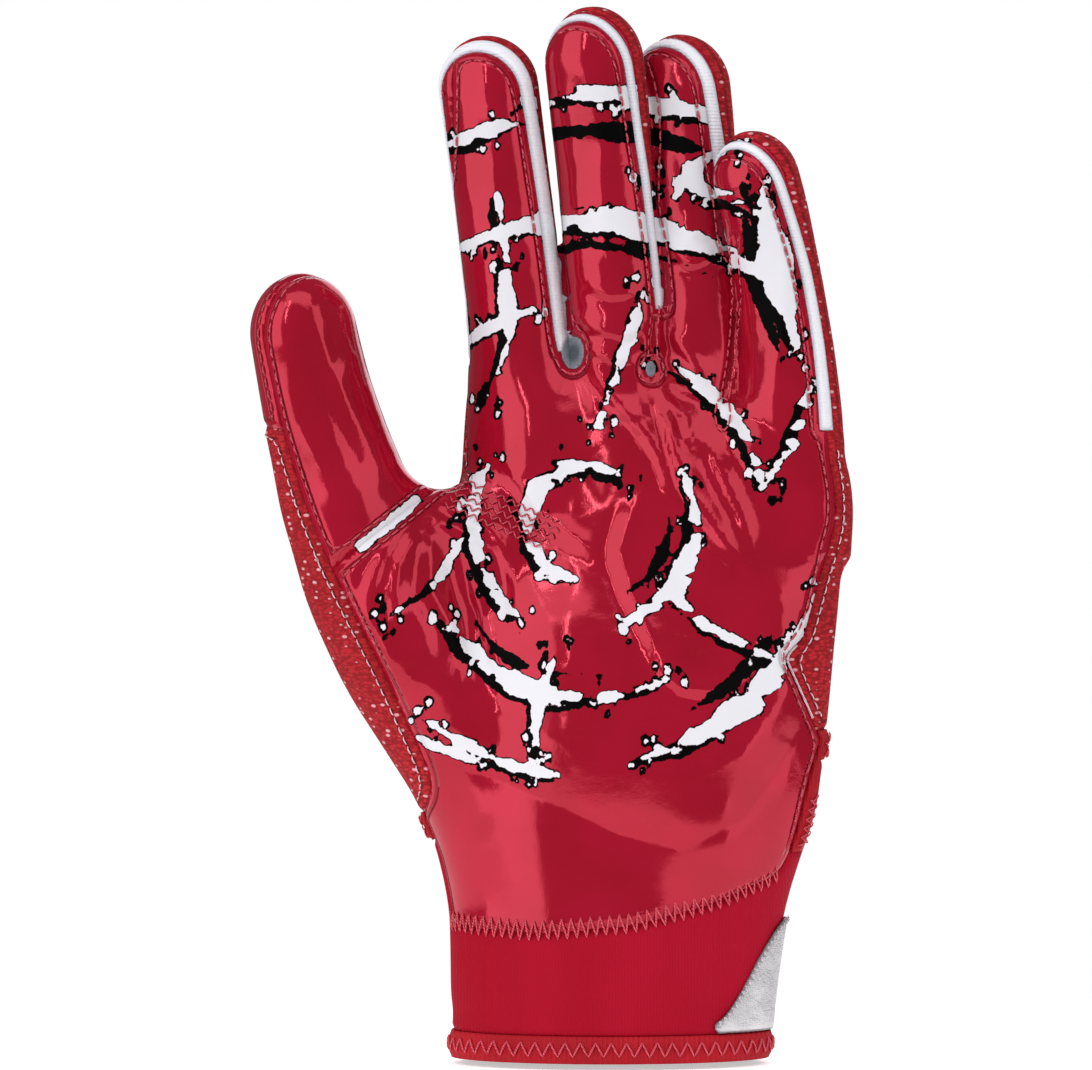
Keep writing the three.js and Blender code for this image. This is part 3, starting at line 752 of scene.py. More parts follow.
def palm_relief(points, normals):
    """How far the coated palm's folds, pads and crumples stand off the smooth hand, in millimetres.

    A fold's crest is rounded, a shallow hollow runs along it, and it fades towards its ends.
    """
    q = points[:, [0, 2]]
    height = np.zeros(len(points))
    for line, rise, steep, gentle in FOLDS:
        d, share, side = line_distance(q, line)
        d = np.sqrt(d * d + 0.12) - 0.35
        width = np.where(side > 0, gentle, steep)
        ends = np.sin(np.pi * np.clip(share, 0.02, 0.98)) ** 0.6
        hollow = 0.3 * np.exp(-((d - 2.4 * width) / width) ** 2)
        height += rise * ends * (np.exp(-np.maximum(d, 0) / width) - hollow)
    for line in GROOVES:
        d, _, _ = line_distance(q, line)
        height -= 1.1 * np.exp(-(d / 0.7) ** 2)
    for x, z, radius, rise in PADS:
        r = np.hypot(q[:, 0] - x, q[:, 1] - z) / radius
        height += rise * np.exp(-r ** 2 * 1.6)
    over_wrist = q[:, 1] - np.interp(q[:, 0], HEEL_LINE[:, 0], HEEL_LINE[:, 1])
    height += 0.16 * np.clip(over_wrist, 0, 16) * np.clip((130 - q[:, 1]) / 34, 0, 1)
    broad = 0.5 * noise(points, 19.0, 3) + 0.3 * noise(points * [1, 1, 0.6], 9.0, 7)
    crumple = 0.12 * (1 - 2 * np.abs(noise(points + 2.0 * noise(points, 6.0, 5)[:, None], 6.0, 11)))
    amount = 0.55 + 0.45 * np.clip(noise(points, 24.0, 13) + 0.5, 0, 1)
    heel = np.clip((points[:, 2] - 62) / 26, 0.12, 1)
    facing = np.clip(-normals[:, 1] + 0.35, 0, 1)
    return facing * (height + heel * (broad + amount * crumple))


def cloth_relief(points, normals):
    """The mesh back's slight waviness."""
    return 0.25 * noise(points, 14.0, 21) + 0.12 * noise(points * [1, 1, 0.5], 6.0, 22)


def cuff_relief(points, normals):
    """The cuff's slight waviness, and its pull inwards over the hem."""
    soft = 0.35 * noise(points * [1, 1, 0.5], 18.0, 31) + 0.1 * noise(points, 6.0, 32)
    return soft - 0.4 * np.exp(-((points[:, 2] - 10) / 4) ** 2)


def arc(radius, start, end, centre=(-6, 128)):
    """Points (x, z) along part of a circle, angles in degrees counted from +x toward +z."""
    angles = np.radians(np.linspace(start, end, 3 + int(abs(end - start) * radius / 500)))
    return [(centre[0] + radius * math.cos(t), centre[1] + radius * math.sin(t)) for t in angles]


# Printed strokes, ripples and spikes: a line on the picture plane and its width at start, middle and end.
STROKES = [
    (arc(14, 50, 262), (1.2, 5.0, 1.0)),
    (arc(27, 150, 236), (1.0, 4.2, 0.8)),
    (arc(26, -66, 24), (1.0, 5.6, 1.2)),
    (arc(42, 214, 296), (0.8, 4.6, 1.6)),
    (arc(43, 12, 66), (1.0, 3.6, 0.8)),
    (arc(57, 284, 344), (1.2, 6.2, 1.2)),
    (arc(60, 232, 264), (0.8, 3.0, 0.8)),
    (arc(52, 104, 140), (0.8, 3.6, 1.0)),
    (arc(72, 50, 116), (1.2, 6.8, 1.4)),
    (arc(84, 56, 80), (0.8, 3.0, 0.8)),
    (arc(101, 70, 98), (2.6, 5.0, 2.6)),
    (arc(96, 98, 114), (1.0, 4.2, 1.6)),
    ([(36, 206), (39, 190), (44, 170)], (2.4, 9.0, 1.2)),
    ([(47, 160), (43, 146), (36, 136)], (1.0, 3.4, 0.8)),
    ([(-3, 150), (3, 168), (8, 184)], (0.8, 2.8, 0.6)),
    ([(12, 112), (26, 101), (37, 96)], (0.8, 3.0, 0.6)),
    ([(-34, 126), (-44, 112), (-53, 106)], (0.6, 2.4, 0.6)),
    ([(-12, 96), (-17, 84), (-17, 74)], (0.8, 2.4, 0.6)),
    ([(-29, 158), (-24, 172), (-25, 192), (-27, 206)], (0.8, 3.4, 0.8)),
    ([(14, 204), (21, 214), (30, 218)], (1.0, 4.0, 1.2)),
    ([(-46, 77), (-30, 70.5)], (2.2, 3.2, 1.6)),
    ([(-59, 122.5), (-46, 133)], (1.6, 2.6, 2.6)),
]
SHADES = [
    (arc(93, 72, 97), (3.0, 6.4, 2.0)),
    ([(32, 200), (34, 186), (40, 168)], (1.4, 4.6, 0.8)),
    (arc(66, 62, 104), (0.8, 3.0, 0.8)),
    (arc(20, -58, 10), (0.6, 2.6, 0.6)),
    (arc(51, 292, 336), (0.6, 3.0, 0.6)),
    (arc(37, 222, 280), (0.6, 2.2, 0.6)),
]


def splash_dots():
    """Small drops thrown off along the strokes."""
    rng = np.random.default_rng(5)
    dots = []
    for line, _ in STROKES[:-2]:
        for x, z in line[::2]:
            for _ in range(7):
                angle, reach = rng.uniform(0, 2 * math.pi), rng.uniform(1.8, 5.2)
                size = rng.uniform(0.05, 0.7)
                dots.append((x + reach * math.cos(angle), z + reach * math.sin(angle), size))
    return dots


DROPS = splash_dots()


def stroke_field(q, strokes):
    """About how far points q lie inside the strokes."""
    best = np.full(len(q), OUTSIDE)
    for line, (first, middle, last) in strokes:
        d, share, _ = line_distance(q, line)
        width = np.interp(share, [0, 0.45, 1], [first, middle, last]) / 2
        best = np.maximum(best, width - d)
    return best


def palm_prints(points):
    """How far inside the white and the black ink points lie, and where the edge seam shows.

    No ink lies where the coat wraps round behind a fingertip or the thumb.
    """
    q = points[:, [0, 2]]
    flat = np.stack([q[:, 0], np.zeros(len(q)), q[:, 1]], 1)
    ragged = 0.7 * noise(flat, 5.5, 40) + 0.5 * noise(flat, 2.6, 41) + 0.3 * noise(flat, 1.5, 42)
    dry = np.clip(noise(flat * [0.35, 1, 1], 1.6, 44) + 0.6 * noise(flat, 9.0, 45) - 0.45, 0, 1) * 4
    drops = np.full(len(q), OUTSIDE)
    for x, z, radius in DROPS:
        drops = np.maximum(drops, radius - np.hypot(q[:, 0] - x, (q[:, 1] - z) * 0.7))
    white = np.maximum(stroke_field(q, STROKES) + ragged - dry, drops + 0.4 * ragged)
    shade = np.maximum(stroke_field(q + [1.4, 1.2], STROKES[:-2]), stroke_field(q, SHADES)) + 0.8 * ragged
    shade = np.maximum(shade + noise(flat, 8.0, 43) - 0.2, drops + 0.5)
    behind = np.where(points[:, 1] > 9, -5.0, 5.0)
    seam = np.clip((above_front_edge(points) - 3) / 2, 0, 1)
    return {"white_ink": np.minimum(white, behind), "black_ink": np.minimum(shade, behind), "seam": seam}


def iso_lines(mesh, value):
    """The zero lines of a value per vertex, as lists of points in order."""
    points, faces = mesh
    value = np.where(np.abs(value) < 1e-6, 1e-6, value)
    links, place = {}, {}
    sides = value[faces] > 0
    for face in faces[sides.any(1) & ~sides.all(1)]:
        ends = []
        for i, j in ((0, 1), (1, 2), (2, 0)):
            a, b = int(face[i]), int(face[j])
            if (value[a] > 0) != (value[b] > 0):
                key = (min(a, b), max(a, b))
                share = value[key[0]] / (value[key[0]] - value[key[1]])
                place[key] = points[key[0]] + share * (points[key[1]] - points[key[0]])
                ends.append(key)
        for one, other in (ends, ends[::-1]):
            links.setdefault(one, []).append(other)
    lines = []
    left = set(links)
    starts = sorted(k for k, v in links.items() if len(v) == 1) + sorted(links)
    for start in starts:
        if start not in left:
            continue
        chain, here = [start], start
        left.discard(start)
        while True:
            onward = [k for k in links[here] if k in left]
            if not onward:
                break
            here = onward[0]
            left.discard(here)
            chain.append(here)
        closed = start in links[here] and len(chain) > 2
        lines.append((np.array([place[k] for k in chain]), closed))
    return lines


def resampled(line, pitch, closed=False):
    """Points at an even pitch along a line."""
    if closed:
        line = np.concatenate([line, line[:1]])
    steps = np.linalg.norm(np.diff(line, axis=0), axis=1)
    run = np.concatenate([[0], np.cumsum(steps)])
    count = max(int(round(run[-1] / pitch)), 1)
    at = np.linspace(0, run[-1], count + 1)
    return np.stack([np.interp(at, run, line[:, k]) for k in range(3)], 1)


def smoothed(line, rounds):
    """A line with its kinks eased, ends kept."""
    line = line.copy()
    for _ in range(rounds):
        line[1:-1] = 0.5 * line[1:-1] + 0.25 * (line[:-2] + line[2:])
    return line


def tube(line, radius, sides=6, taper=False):
    """A round tube along a line: points and faces."""
    tangent = unit(np.gradient(line, axis=0))
    guide = np.array([0.31, 0.85, 0.42])
    first = unit(np.cross(tangent, guide))
    second = np.cross(tangent, first)
    angle = 2 * np.pi * np.arange(sides) / sides
    ring = first[:, None] * np.cos(angle)[None, :, None] + second[:, None] * np.sin(angle)[None, :, None]
    size = np.full(len(line), radius)
    if taper:
        size[0] = size[-1] = radius * 0.55
    points = (line[:, None] + ring * size[:, None, None]).reshape(-1, 3)
    starts = np.arange(len(line) - 1)[:, None] * sides
    a = (starts + np.arange(sides)).reshape(-1)
    b = (starts + (np.arange(sides) + 1) % sides).reshape(-1)
    faces = np.concatenate([np.stack([a, b, b + sides], 1), np.stack([a, b + sides, a + sides], 1)])
    last = (len(line) - 1) * sides
    fan = np.arange(1, sides - 1)
    near_cap = np.stack([0 * fan, fan + 1, fan], 1)
    far_cap = last + np.stack([0 * fan, fan, fan + 1], 1)
    return points, np.concatenate([faces, near_cap, far_cap])


class Threads:
    """Gathers thread pieces into one object."""

    def __init__(self):
        self.points, self.faces, self.count = [], [], 0

    def add(self, points, faces):
        self.points.append(points)
        self.faces.append(faces + self.count)
        self.count += len(points)

    def stitch(self, start, end, up_start, up_end, radius, lift=0.32):
        """One thread that rises out of the cloth and dips back in."""
        share = np.array([0, 0.2, 0.5, 0.8, 1.0])[:, None]
        rise = np.array([-0.15, 0.75, 1.0, 0.75, -0.15])[:, None]
        line = start * (1 - share) + end * share + (up_start * (1 - share) + up_end * share) * rise * lift
        self.add(*tube(line, radius, 6, True))

    def row(self, line, normals, radius):
        for k in range(len(line) - 1):
            step = line[k + 1] - line[k]
            start, end = line[k] + step * 0.1, line[k] + step * 0.9
            self.stitch(start, end, normals[k], normals[k + 1], radius)

    def zigzag(self, line, normals, reach, radius):
        tangent = unit(np.gradient(line, axis=0))
        across = unit(np.cross(normals, tangent))
        for k in range(len(line) - 1):
            sign = 1 if k % 2 else -1
            a = line[k] - across[k] * reach * sign
            b = line[k + 1] + across[k + 1] * reach * sign
            self.stitch(a, b, normals[k], normals[k + 1], radius)

    def finish(self, name, material, slot):
        points, faces = np.concatenate(self.points), np.concatenate(self.faces)
        obj = mesh_object(name, points, faces, {}, [material])
        return obj


def on_surface(line, relief=None, lift=0.0, edge=DEEP):
    """A line that far from a panel's edge moved out to its face, with the face's directions there."""
    normals = unit(field_slope(line))
    height = np.full(len(line), lift)
    if relief is not None:
        height = height + relief(line, normals) * (1 - math.exp(-(edge / RELIEF_FADE) ** 2))
    return line + normals * height[:, None], normals


def drape(xz):
    """Points (x, z) of the picture plane laid on the front of the hand."""
    xz = np.asarray(xz, float)
    y = np.full(len(xz), -36.0)
    for _ in range(60):
        p = np.stack([xz[:, 0], y, xz[:, 1]], 1)
        y = y + np.clip(field(p), -1, 1.5) * 0.8
    return np.stack([xz[:, 0], y, xz[:, 1]], 1)


class Shader:
    """A small helper to wire a Principled material."""

    def __init__(self, name, roughness=0.5, metallic=0.0, shine=0.15):
        self.material = bpy.data.materials.new(name)
        self.material.use_nodes = True
        self.tree = self.material.node_tree
        self.principled = self.tree.nodes["Principled BSDF"]
        self.principled.inputs["Roughness"].default_value = roughness
        self.principled.inputs["Metallic"].default_value = metallic
        self.principled.inputs["Specular IOR Level"].default_value = shine
        self.place = self.node("ShaderNodeTexCoord").outputs["Object"]

    def node(self, kind, **settings):
        made = self.tree.nodes.new(kind)
        for key, value in settings.items():
            setattr(made, key, value)
        return made

    def link(self, source, target):
        if isinstance(source, (int, float, tuple)):
            target.default_value = source
        else:
            self.tree.links.new(source, target)

    def attribute(self, name):
        return self.node("ShaderNodeAttribute", attribute_name=name).outputs["Fac"]

    def math(self, operation, a, b=0.0, c=0.0):
        made = self.node("ShaderNodeMath", operation=operation)
        for socket, value in zip(made.inputs, (a, b, c)):
            self.link(value, socket)
        return made.outputs[0]

    def ramp(self, value, low, high, to_low=0.0, to_high=1.0):
        """Value's smooth step from low to high."""
        made = self.node("ShaderNodeMapRange", interpolation_type="SMOOTHSTEP")
        keys = ("Value", "From Min", "From Max", "To Min", "To Max")
        for key, part in zip(keys, (value, low, high, to_low, to_high)):
            self.link(part, made.inputs[key])
        return made.outputs[0]

    def scaled(self, scale):
        made = self.node("ShaderNodeMapping")
        self.link(self.place, made.inputs["Vector"])
        made.inputs["Scale"].default_value = scale
        return made.outputs[0]

    def texture(self, kind, place, settings, **modes):
        made = self.node(kind, **modes)
        self.link(place or self.place, made.inputs["Vector"])
        for key, value in settings.items():
            made.inputs[key].default_value = value
        return made.outputs

    def noise(self, scale, detail, place=None):
        return self.texture("ShaderNodeTexNoise", place, {"Scale": scale, "Detail": detail})["Fac"]

    def cells(self, scale, randomness, place=None):
        made = self.texture("ShaderNodeTexVoronoi", place, {"Scale": scale, "Randomness": randomness})
        return made["Distance"], made["Color"]

    def ribs(self, direction, scale, distortion, detail=2.0):
        settings = {"Scale": scale, "Distortion": distortion, "Detail": detail}
        return self.texture("ShaderNodeTexWave", None, settings, bands_direction=direction)["Fac"]

    def mix(self, share, a, b):
        """The colours a and b mixed: a colour mix has them in sockets 6 and 7, and the result in 2."""
        made = self.node("ShaderNodeMix", data_type="RGBA")
        self.link(share, made.inputs[0])
        self.link(a, made.inputs[6])
        self.link(b, made.inputs[7])
        return made.outputs[2]

    def mottled(self, scale, detail, one, other, place=None):
        return self.mix(self.ramp(self.noise(scale, detail, place), 0.3, 0.7), one, other)

    def bump(self, height, distance, normal=None):
        made = self.node("ShaderNodeBump")
        self.link(height, made.inputs["Height"])
        made.inputs["Distance"].default_value = distance
        if normal is not None:
            self.link(normal, made.inputs["Normal"])
        return made.outputs["Normal"]

    def finish(self, color, normal=None, roughness=None, metallic=None):
        keys = ("Base Color", "Normal", "Roughness", "Metallic")
        for key, source in zip(keys, (color, normal, roughness, metallic)):
            if source is not None:
                self.link(source, self.principled.inputs[key])
        return self.material


def groove(shader, at, width):
    """1 along a line that far from the panel's edge, falling to 0 at width from it."""
    off = shader.math("ABSOLUTE", shader.math("SUBTRACT", shader.attribute("edge"), at))
    return shader.ramp(off, 0.0, width, 1.0, 0.0)


def coated_material():
    s = Shader("coated_palm", shine=0.4)
    fine = s.noise(700, 3)
    ragged = s.math("MULTIPLY", s.math("SUBTRACT", fine, 0.5), 1.3)
    white = s.math("ADD", s.attribute("white_ink"), ragged)
    black = s.math("ADD", s.attribute("black_ink"), ragged)
    white_on = s.ramp(white, -0.05, 0.05)
    outline = s.ramp(white, -0.42, -0.34)
    shadow = s.ramp(black, -0.05, 0.05)
    black_on = s.math("MULTIPLY", s.math("MAXIMUM", outline, shadow), s.math("SUBTRACT", 1.0, white_on))
    line = s.math("MULTIPLY", groove(s, PALM_INSET, 0.7), s.attribute("seam"))
    red = s.mottled(60, 2, (0.365, 0.005, 0.021, 1), (0.415, 0.006, 0.027, 1))
    # Painted shade: the red darkens along the topstitching's groove, which the bump below also sinks.
    red = s.mix(s.math("MULTIPLY", line, 0.45), red, (0.12, 0.002, 0.006, 1))
    inked = s.mix(black_on, red, (0.002, 0.002, 0.002, 1))
    inked = s.mix(white_on, inked, (0.66, 0.67, 0.69, 1))
    grain = s.noise(2400, 2)
    orange_peel = s.noise(260, 2)
    height = s.math("ADD", s.math("MULTIPLY", orange_peel, 0.16), s.math("MULTIPLY", grain, 0.05))
    normal = s.bump(height, 0.00022)
    normal = s.bump(s.math("MULTIPLY", line, -1.0), 0.0004, normal)
    metallic = s.math("MULTIPLY", s.math("SUBTRACT", 1.0, s.math("MAXIMUM", white_on, black_on)), 0.34)
    inked_rough = s.math("MULTIPLY_ADD", s.math("MAXIMUM", white_on, black_on), 0.3, 0.05)
    rough = s.math("ADD", s.math("MULTIPLY", s.noise(90, 3), 0.08), inked_rough)
    s.link(s.ramp(black_on, 0.0, 1.0, 0.4, 0.02), s.principled.inputs["Specular IOR Level"])
    return s.finish(inked, normal, rough, metallic)


def fleck_pattern(s, scale):
    """Short pale flecks in loose rows, as the openings of a knitted mesh show."""
    distance, color = s.cells(scale, 0.65, place=s.scaled((0.62, 0.5, 1.1)))
    split_color = s.node("ShaderNodeSeparateColor")
    s.link(color, split_color.inputs[0])
    chosen = s.ramp(split_color.outputs[0], 0.2, 0.3)
    return s.math("MULTIPLY", s.ramp(distance, 0.26, 0.17), chosen), distance


def mesh_material():
    s = Shader("red_mesh", roughness=0.78)
    fleck, distance = fleck_pattern(s, 500)
    weave_size, _ = s.cells(1250, 0.8, place=s.scaled((0.45, 0.45, 1.0)))
    red = s.mottled(45, 2, (0.38, 0.012, 0.018, 1), (0.46, 0.016, 0.024, 1))
    red = s.mix(s.ramp(weave_size, 0.25, 0.65), red, (0.25, 0.006, 0.01, 1))
    color = s.mix(s.math("MULTIPLY", fleck, 0.8), red, (0.74, 0.4, 0.41, 1))
    line = groove(s, MESH_INSET, 0.6)
    # Painted shade: the mesh darkens along the stitching's groove, which the bump also sinks.
    color = s.mix(s.math("MULTIPLY", line, 0.4), color, (0.12, 0.003, 0.005, 1))
    normal = s.bump(s.math("MULTIPLY", weave_size, -1.0), 0.0003)
    normal = s.bump(s.ramp(distance, 0.1, 0.4), 0.0003, normal)
    normal = s.bump(s.math("MULTIPLY", line, -1.0), 0.0004, normal)
    return s.finish(color, normal)


def side_material():
    s = Shader("white_knit", roughness=0.75)
    ribs = s.ribs("Z", 380, 1.2, 1.0)
    tint = s.noise(35, 2)
    # Painted shade: the white turns grey-blue within 1.1 mm of the sidewall's rolled edge.
    edge = s.ramp(s.attribute("edge"), 0.0, 1.1)
    color = s.mix(s.ramp(tint, 0.25, 0.75), (0.71, 0.725, 0.755, 1), (0.79, 0.8, 0.825, 1))
    color = s.mix(edge, (0.5, 0.52, 0.57, 1), color)
    # Painted shade: dark grey to near black in the slits' open ends, where the glove's inside lies in
    # shadow.
    color = s.mix(s.ramp(s.attribute("slit"), -0.9, 0.4), color, (0.17, 0.19, 0.21, 1))
    color = s.mix(s.ramp(s.attribute("slit"), 0.4, 1.6), color, (0.07, 0.085, 0.1, 1))
    knit, _ = s.cells(1100, 0.4)
    height = s.math("MULTIPLY_ADD", ribs, 0.4, s.math("MULTIPLY", knit, -0.5))
    return s.finish(color, s.bump(height, 0.00022))


def cuff_material():
    s = Shader("cuff_knit", roughness=0.7, shine=0.06)
    ribs = s.ribs("X", 420, 0.8)
    red = s.mottled(40, 3, (0.32, 0.003, 0.015, 1), (0.36, 0.004, 0.02, 1), s.scaled((1, 1, 0.25)))
    red = s.mix(s.math("MULTIPLY", ribs, 0.14), red, (0.2, 0.003, 0.008, 1))
    knit, _ = s.cells(1500, 0.5)
    height = s.math("MULTIPLY_ADD", ribs, -0.5, s.math("MULTIPLY", knit, -0.4))
    return s.finish(red, s.bump(height, 0.00016))


def tape_material():
    s = Shader("red_tape", roughness=0.72)
    ribs = s.ribs("X", 260, 0.8)
    knit, _ = s.cells(1300, 0.3)
    red = s.mottled(60, 2, (0.33, 0.006, 0.013, 1), (0.41, 0.008, 0.017, 1))
    red = s.mix(s.math("MULTIPLY", ribs, 0.25), red, (0.26, 0.004, 0.005, 1))
    height = s.math("MULTIPLY_ADD", ribs, -0.6, s.math("MULTIPLY", knit, -0.5))
    return s.finish(red, s.bump(height, 0.0003))


def film_material():
    s = Shader("silver_film", roughness=0.36, metallic=0.4, shine=0.5)
    crinkle = s.noise(260, 4)
    spots, _ = s.cells(1900, 0.6)
    color = s.mix(s.ramp(s.noise(70, 3), 0.3, 0.75), (0.45, 0.45, 0.455, 1), (0.68, 0.68, 0.69, 1))
    color = s.mix(s.ramp(s.attribute("edge"), 0.0, 0.8), (0.2, 0.2, 0.2, 1), color)
    normal = s.bump(crinkle, 0.0005)
    return s.finish(color, s.bump(spots, 0.00012, normal))


def thread_material(name, dark, light):
    s = Shader(name, roughness=0.55)
    # Stripes along the twist, dark to light: painted shade and highlight on the twisted thread, beside its
    # bump.
    twist = s.ribs("DIAGONAL", 900, 0.0)
    return s.finish(s.mix(twist, dark, light), s.bump(twist, 0.0001))


def lining_material():
    s = Shader("lining_knit", roughness=0.85)
    knit, _ = s.cells(900, 0.4)
    color = s.mix(s.ramp(knit, 0.2, 0.7), (0.24, 0.02, 0.025, 1), (0.12, 0.006, 0.01, 1))
    return s.finish(color, s.bump(s.math("MULTIPLY", knit, -1.0), 0.0003))


coated = coated_material()
meshed = mesh_material()
white = side_material()
knit = cuff_material()
tape = tape_material()
silver = film_material()
lining = lining_material()
# Each thread's pair of colours runs from its painted shade to its painted highlight.
red_thread = thread_material("red_thread", (0.34, 0.012, 0.025, 1), (0.68, 0.12, 0.16, 1))
silver_thread = thread_material("silver_thread", (0.3, 0.3, 0.3, 1), (0.8, 0.8, 0.81, 1))
bright_thread = thread_material("bright_thread", (0.42, 0.02, 0.04, 1), (0.77, 0.12, 0.15, 1))
pale_thread = thread_material("pale_thread", (0.55, 0.3, 0.32, 1), (0.85, 0.72, 0.72, 1))

whole, _ = split(whole_surface(), lambda p: p[:, 2])
band, rest = split(whole, side_zone)
front, back = split(rest, front_zone)
palm_side, cuff_front = split(front, above_front_edge)
thumb_front, palm = split(palm_side, above_stripe)
mesh_side, cuff_back = split(back, above_back_edge)
thumb_cap, back_mesh = split(mesh_side, thumb_cap_zone)
binding_back, cuff_back = split(cuff_back, above_binding)
binding_side, cuff_front = split(cuff_front, above_side_binding)
cuff_all, hem = split(joined(cuff_front, cuff_back), above_hem)
patch, _ = split(cuff_all, patch_zone)

panel("palm", palm, ["palm_panel"], coated, lining, relief=palm_relief, prints=palm_prints)
panel("thumb_front", thumb_front, ["thumb_panel"], coated, lining, relief=palm_relief,
      prints=palm_prints)
panel("thumb_cap", thumb_cap, ["thumb_tip_back"], coated, lining, prints=palm_prints)
panel("back", back_mesh, ["back_panel"], meshed, lining, relief=cloth_relief)
# The white sidewalls: the slits' open ends are sunk, and their "slit" values mark where white_knit paints
# shade.
for finger in FINGERS:
    side, band = split(band, owned_by(finger))
    panel(finger + "_side", side, [finger + "_sidewall"], white, lining, drop=0.4,
          relief=lambda points, normals: -1.2 * np.clip(slit_end(points) + 0.6, 0, 1),
          prints=lambda points: {"slit": slit_end(points)})
panel("cuff_band", cuff_all, ["cuff"], knit, lining, relief=cuff_relief)
binding = joined(binding_back, binding_side)
panel("binding", binding, ["cuff_binding"], tape, lining, lift=BINDING_LIFT)
panel("hem", hem, ["cuff_hem"], tape, lining, lift=HEM_LIFT)
panel("patch", patch, ["cuff_patch"], silver, silver, lift=PATCH_LIFT, wall=-0.2, drop=0.3)


def edge_distance(mesh):
    return distance_from(mesh[0], mesh[0][np.unique(edge_loop(mesh[1]))])


def everywhere(p):
    return np.ones(len(p), bool)


def zigzag_row(threads, line, lift, reach, radius, relief=None):
    """Zigzag stitches on the surface along a line."""
    placed, normals = on_surface(line, relief, lift)
    threads.zigzag(placed, normals, reach, radius)


def zigzag_seam(threads, mesh, value, pitch, lift, reach, radius, keep=everywhere, rounds=4):
    """Zigzag stitches along the lines of a mesh where value is zero, as far as keep says so."""
    for line, closed in iso_lines(mesh, value):
        if len(line) > SHORT_LINE:
            line = resampled(smoothed(line, rounds), pitch, closed)
            zigzag_row(threads, line[keep(line)], lift, reach, radius)


def seam_row(threads, mesh, inset, pitch, relief, keep=everywhere, radius=0.2, facing=-0.45):
    """Topstitching at an even inset from a panel's edge, where keep says so and the face looks forward."""
    for line, closed in iso_lines(mesh, edge_distance(mesh) - inset):
        if len(line) < SHORT_LINE:
            continue
        line = smoothed(resampled(smoothed(line, 6), pitch, closed), 1)
        placed, normals = on_surface(line, relief, 0.05, inset)
        kept = keep(line) & (normals[:, 1] < facing)
        for k in np.flatnonzero(kept[:-1] & kept[1:]):
            threads.row(placed[k:k + 2], normals[k:k + 2], radius)


def on_thumb_side(p):
    """True on the thumb's outer side and on the V at the hand's other side."""
    outer = (measure(p)["thumb"][1] < -4) & (p[:, 0] < -36)
    return (above_back_edge(p) > 3) & (outer | ((p[:, 0] > 38) & (p[:, 2] < 146)))


def above_wrist(p):
    """True over the cuff's edge, and over the wrist on the thumb's side."""
    return (above_front_edge(p) > 4.5) & ((p[:, 0] > 0) | (p[:, 2] > 94))


topstitch = Threads()
seam_row(topstitch, palm, PALM_INSET, PALM_PITCH, palm_relief, above_wrist, 0.25)
seam_row(topstitch, thumb_front, PALM_INSET, PALM_PITCH, palm_relief, radius=0.25)
seam_row(topstitch, thumb_cap, CAP_INSET, PALM_PITCH, None)
topstitch.finish("topstitching", red_thread, "coated_palm")

mesh_stitch = Threads()
seam_row(mesh_stitch, back_mesh, MESH_INSET, MESH_PITCH, cloth_relief, on_thumb_side, 0.17, facing=1.0)
mesh_stitch.finish("mesh_stitching", pale_thread, "red_mesh")

zigzag = Threads()
zigzag_seam(zigzag, front, above_front_edge(front[0]) - 0.8, pitch=1.15, lift=0.15, reach=2.4, radius=0.23,
            keep=lambda p: above_side_binding(p) < -4)
zigzag_seam(zigzag, binding, edge_distance(binding) - 1.7, pitch=1.1, lift=BINDING_LIFT + 0.1, reach=1.2,
            radius=0.18)
zigzag.finish("cuff_zigzag", bright_thread, "red_tape")

hem_stitch = Threads()
zigzag_seam(hem_stitch, whole, whole[0][:, 2] - HEM_HEIGHT * 0.52, pitch=1.8, lift=HEM_LIFT + 0.1, reach=1.7,
            radius=0.25)
hem_stitch.finish("hem_zigzag", bright_thread, "red_tape")

patch_stitch = Threads()
zigzag_seam(patch_stitch, patch, edge_distance(patch) - 0.5, pitch=0.8, lift=PATCH_LIFT + 0.05, reach=0.7,
            radius=0.14, keep=lambda p: p[:, 2] > HEM_HEIGHT + 1.2, rounds=3)
patch_stitch.finish("patch_stitching", silver_thread, "silver_film")

# Five zigzag rows side by side strengthen the coat over the web.
web_stitch = Threads()
for k in range(-2, 3):
    shift = np.array([0.9, 1.15]) * k * 1.25
    rows = np.linspace(np.array([-37.5, 135.0]) + shift, np.array([-13.0, 124.5]) + shift, 22)
    zigzag_row(web_stitch, drape(rows), lift=0.1, reach=0.7, radius=0.2, relief=palm_relief)
web_stitch.finish("web_stitching", red_thread, "coated_palm")

# A row of stitches on each side of a slit, and a small loop round the lower slit's end.
dart = Threads()
for groove_line in GROOVES:
    spine = resampled(drape(np.array(groove_line, float)), 2.6)
    for shift in (-1.0, 1.0):
        placed, normals = on_surface(spine + [shift, 0, 0], palm_relief, 0.1)
        dart.row(placed, normals, 0.22)
turn = np.linspace(0, 2 * math.pi, 9)[:, None]
loop_end = drape(np.hstack([26.6 + 1.9 * np.sin(turn), 153.5 + 4.4 * np.cos(turn)]))
placed, normals = on_surface(loop_end, palm_relief, 0.1)
dart.row(placed, normals, 0.24)
dart.finish("dart_stitching", red_thread, "coated_palm")

# A pale piping lies in the seam at the hand's outer side.
piping = Threads()
for line, closed in iso_lines(rest, front_zone(rest[0])):
    if len(line) < SHORT_LINE:
        continue
    line = resampled(smoothed(line, 6), 1.0, closed)
    shown = on_thumb_side(line) & (line[:, 0] > 0) & (line[:, 2] < 99)
    placed, normals = on_surface(line, None, -0.1)
    runs = np.split(np.arange(len(line)), np.flatnonzero(np.diff(shown.astype(int))) + 1)
    for run in runs:
        if shown[run[0]] and len(run) > 4:
            piping.add(*tube(placed[run], 0.32, 6))
piping.finish("piping", pale_thread, "white_knit")

# The camera looks straight at the palm from far away, and VIEW_WIDTH fills the picture from side to side.
CAMERA_DISTANCE = 1.5
VIEW_WIDTH = 0.262
SENSOR_WIDTH = 36

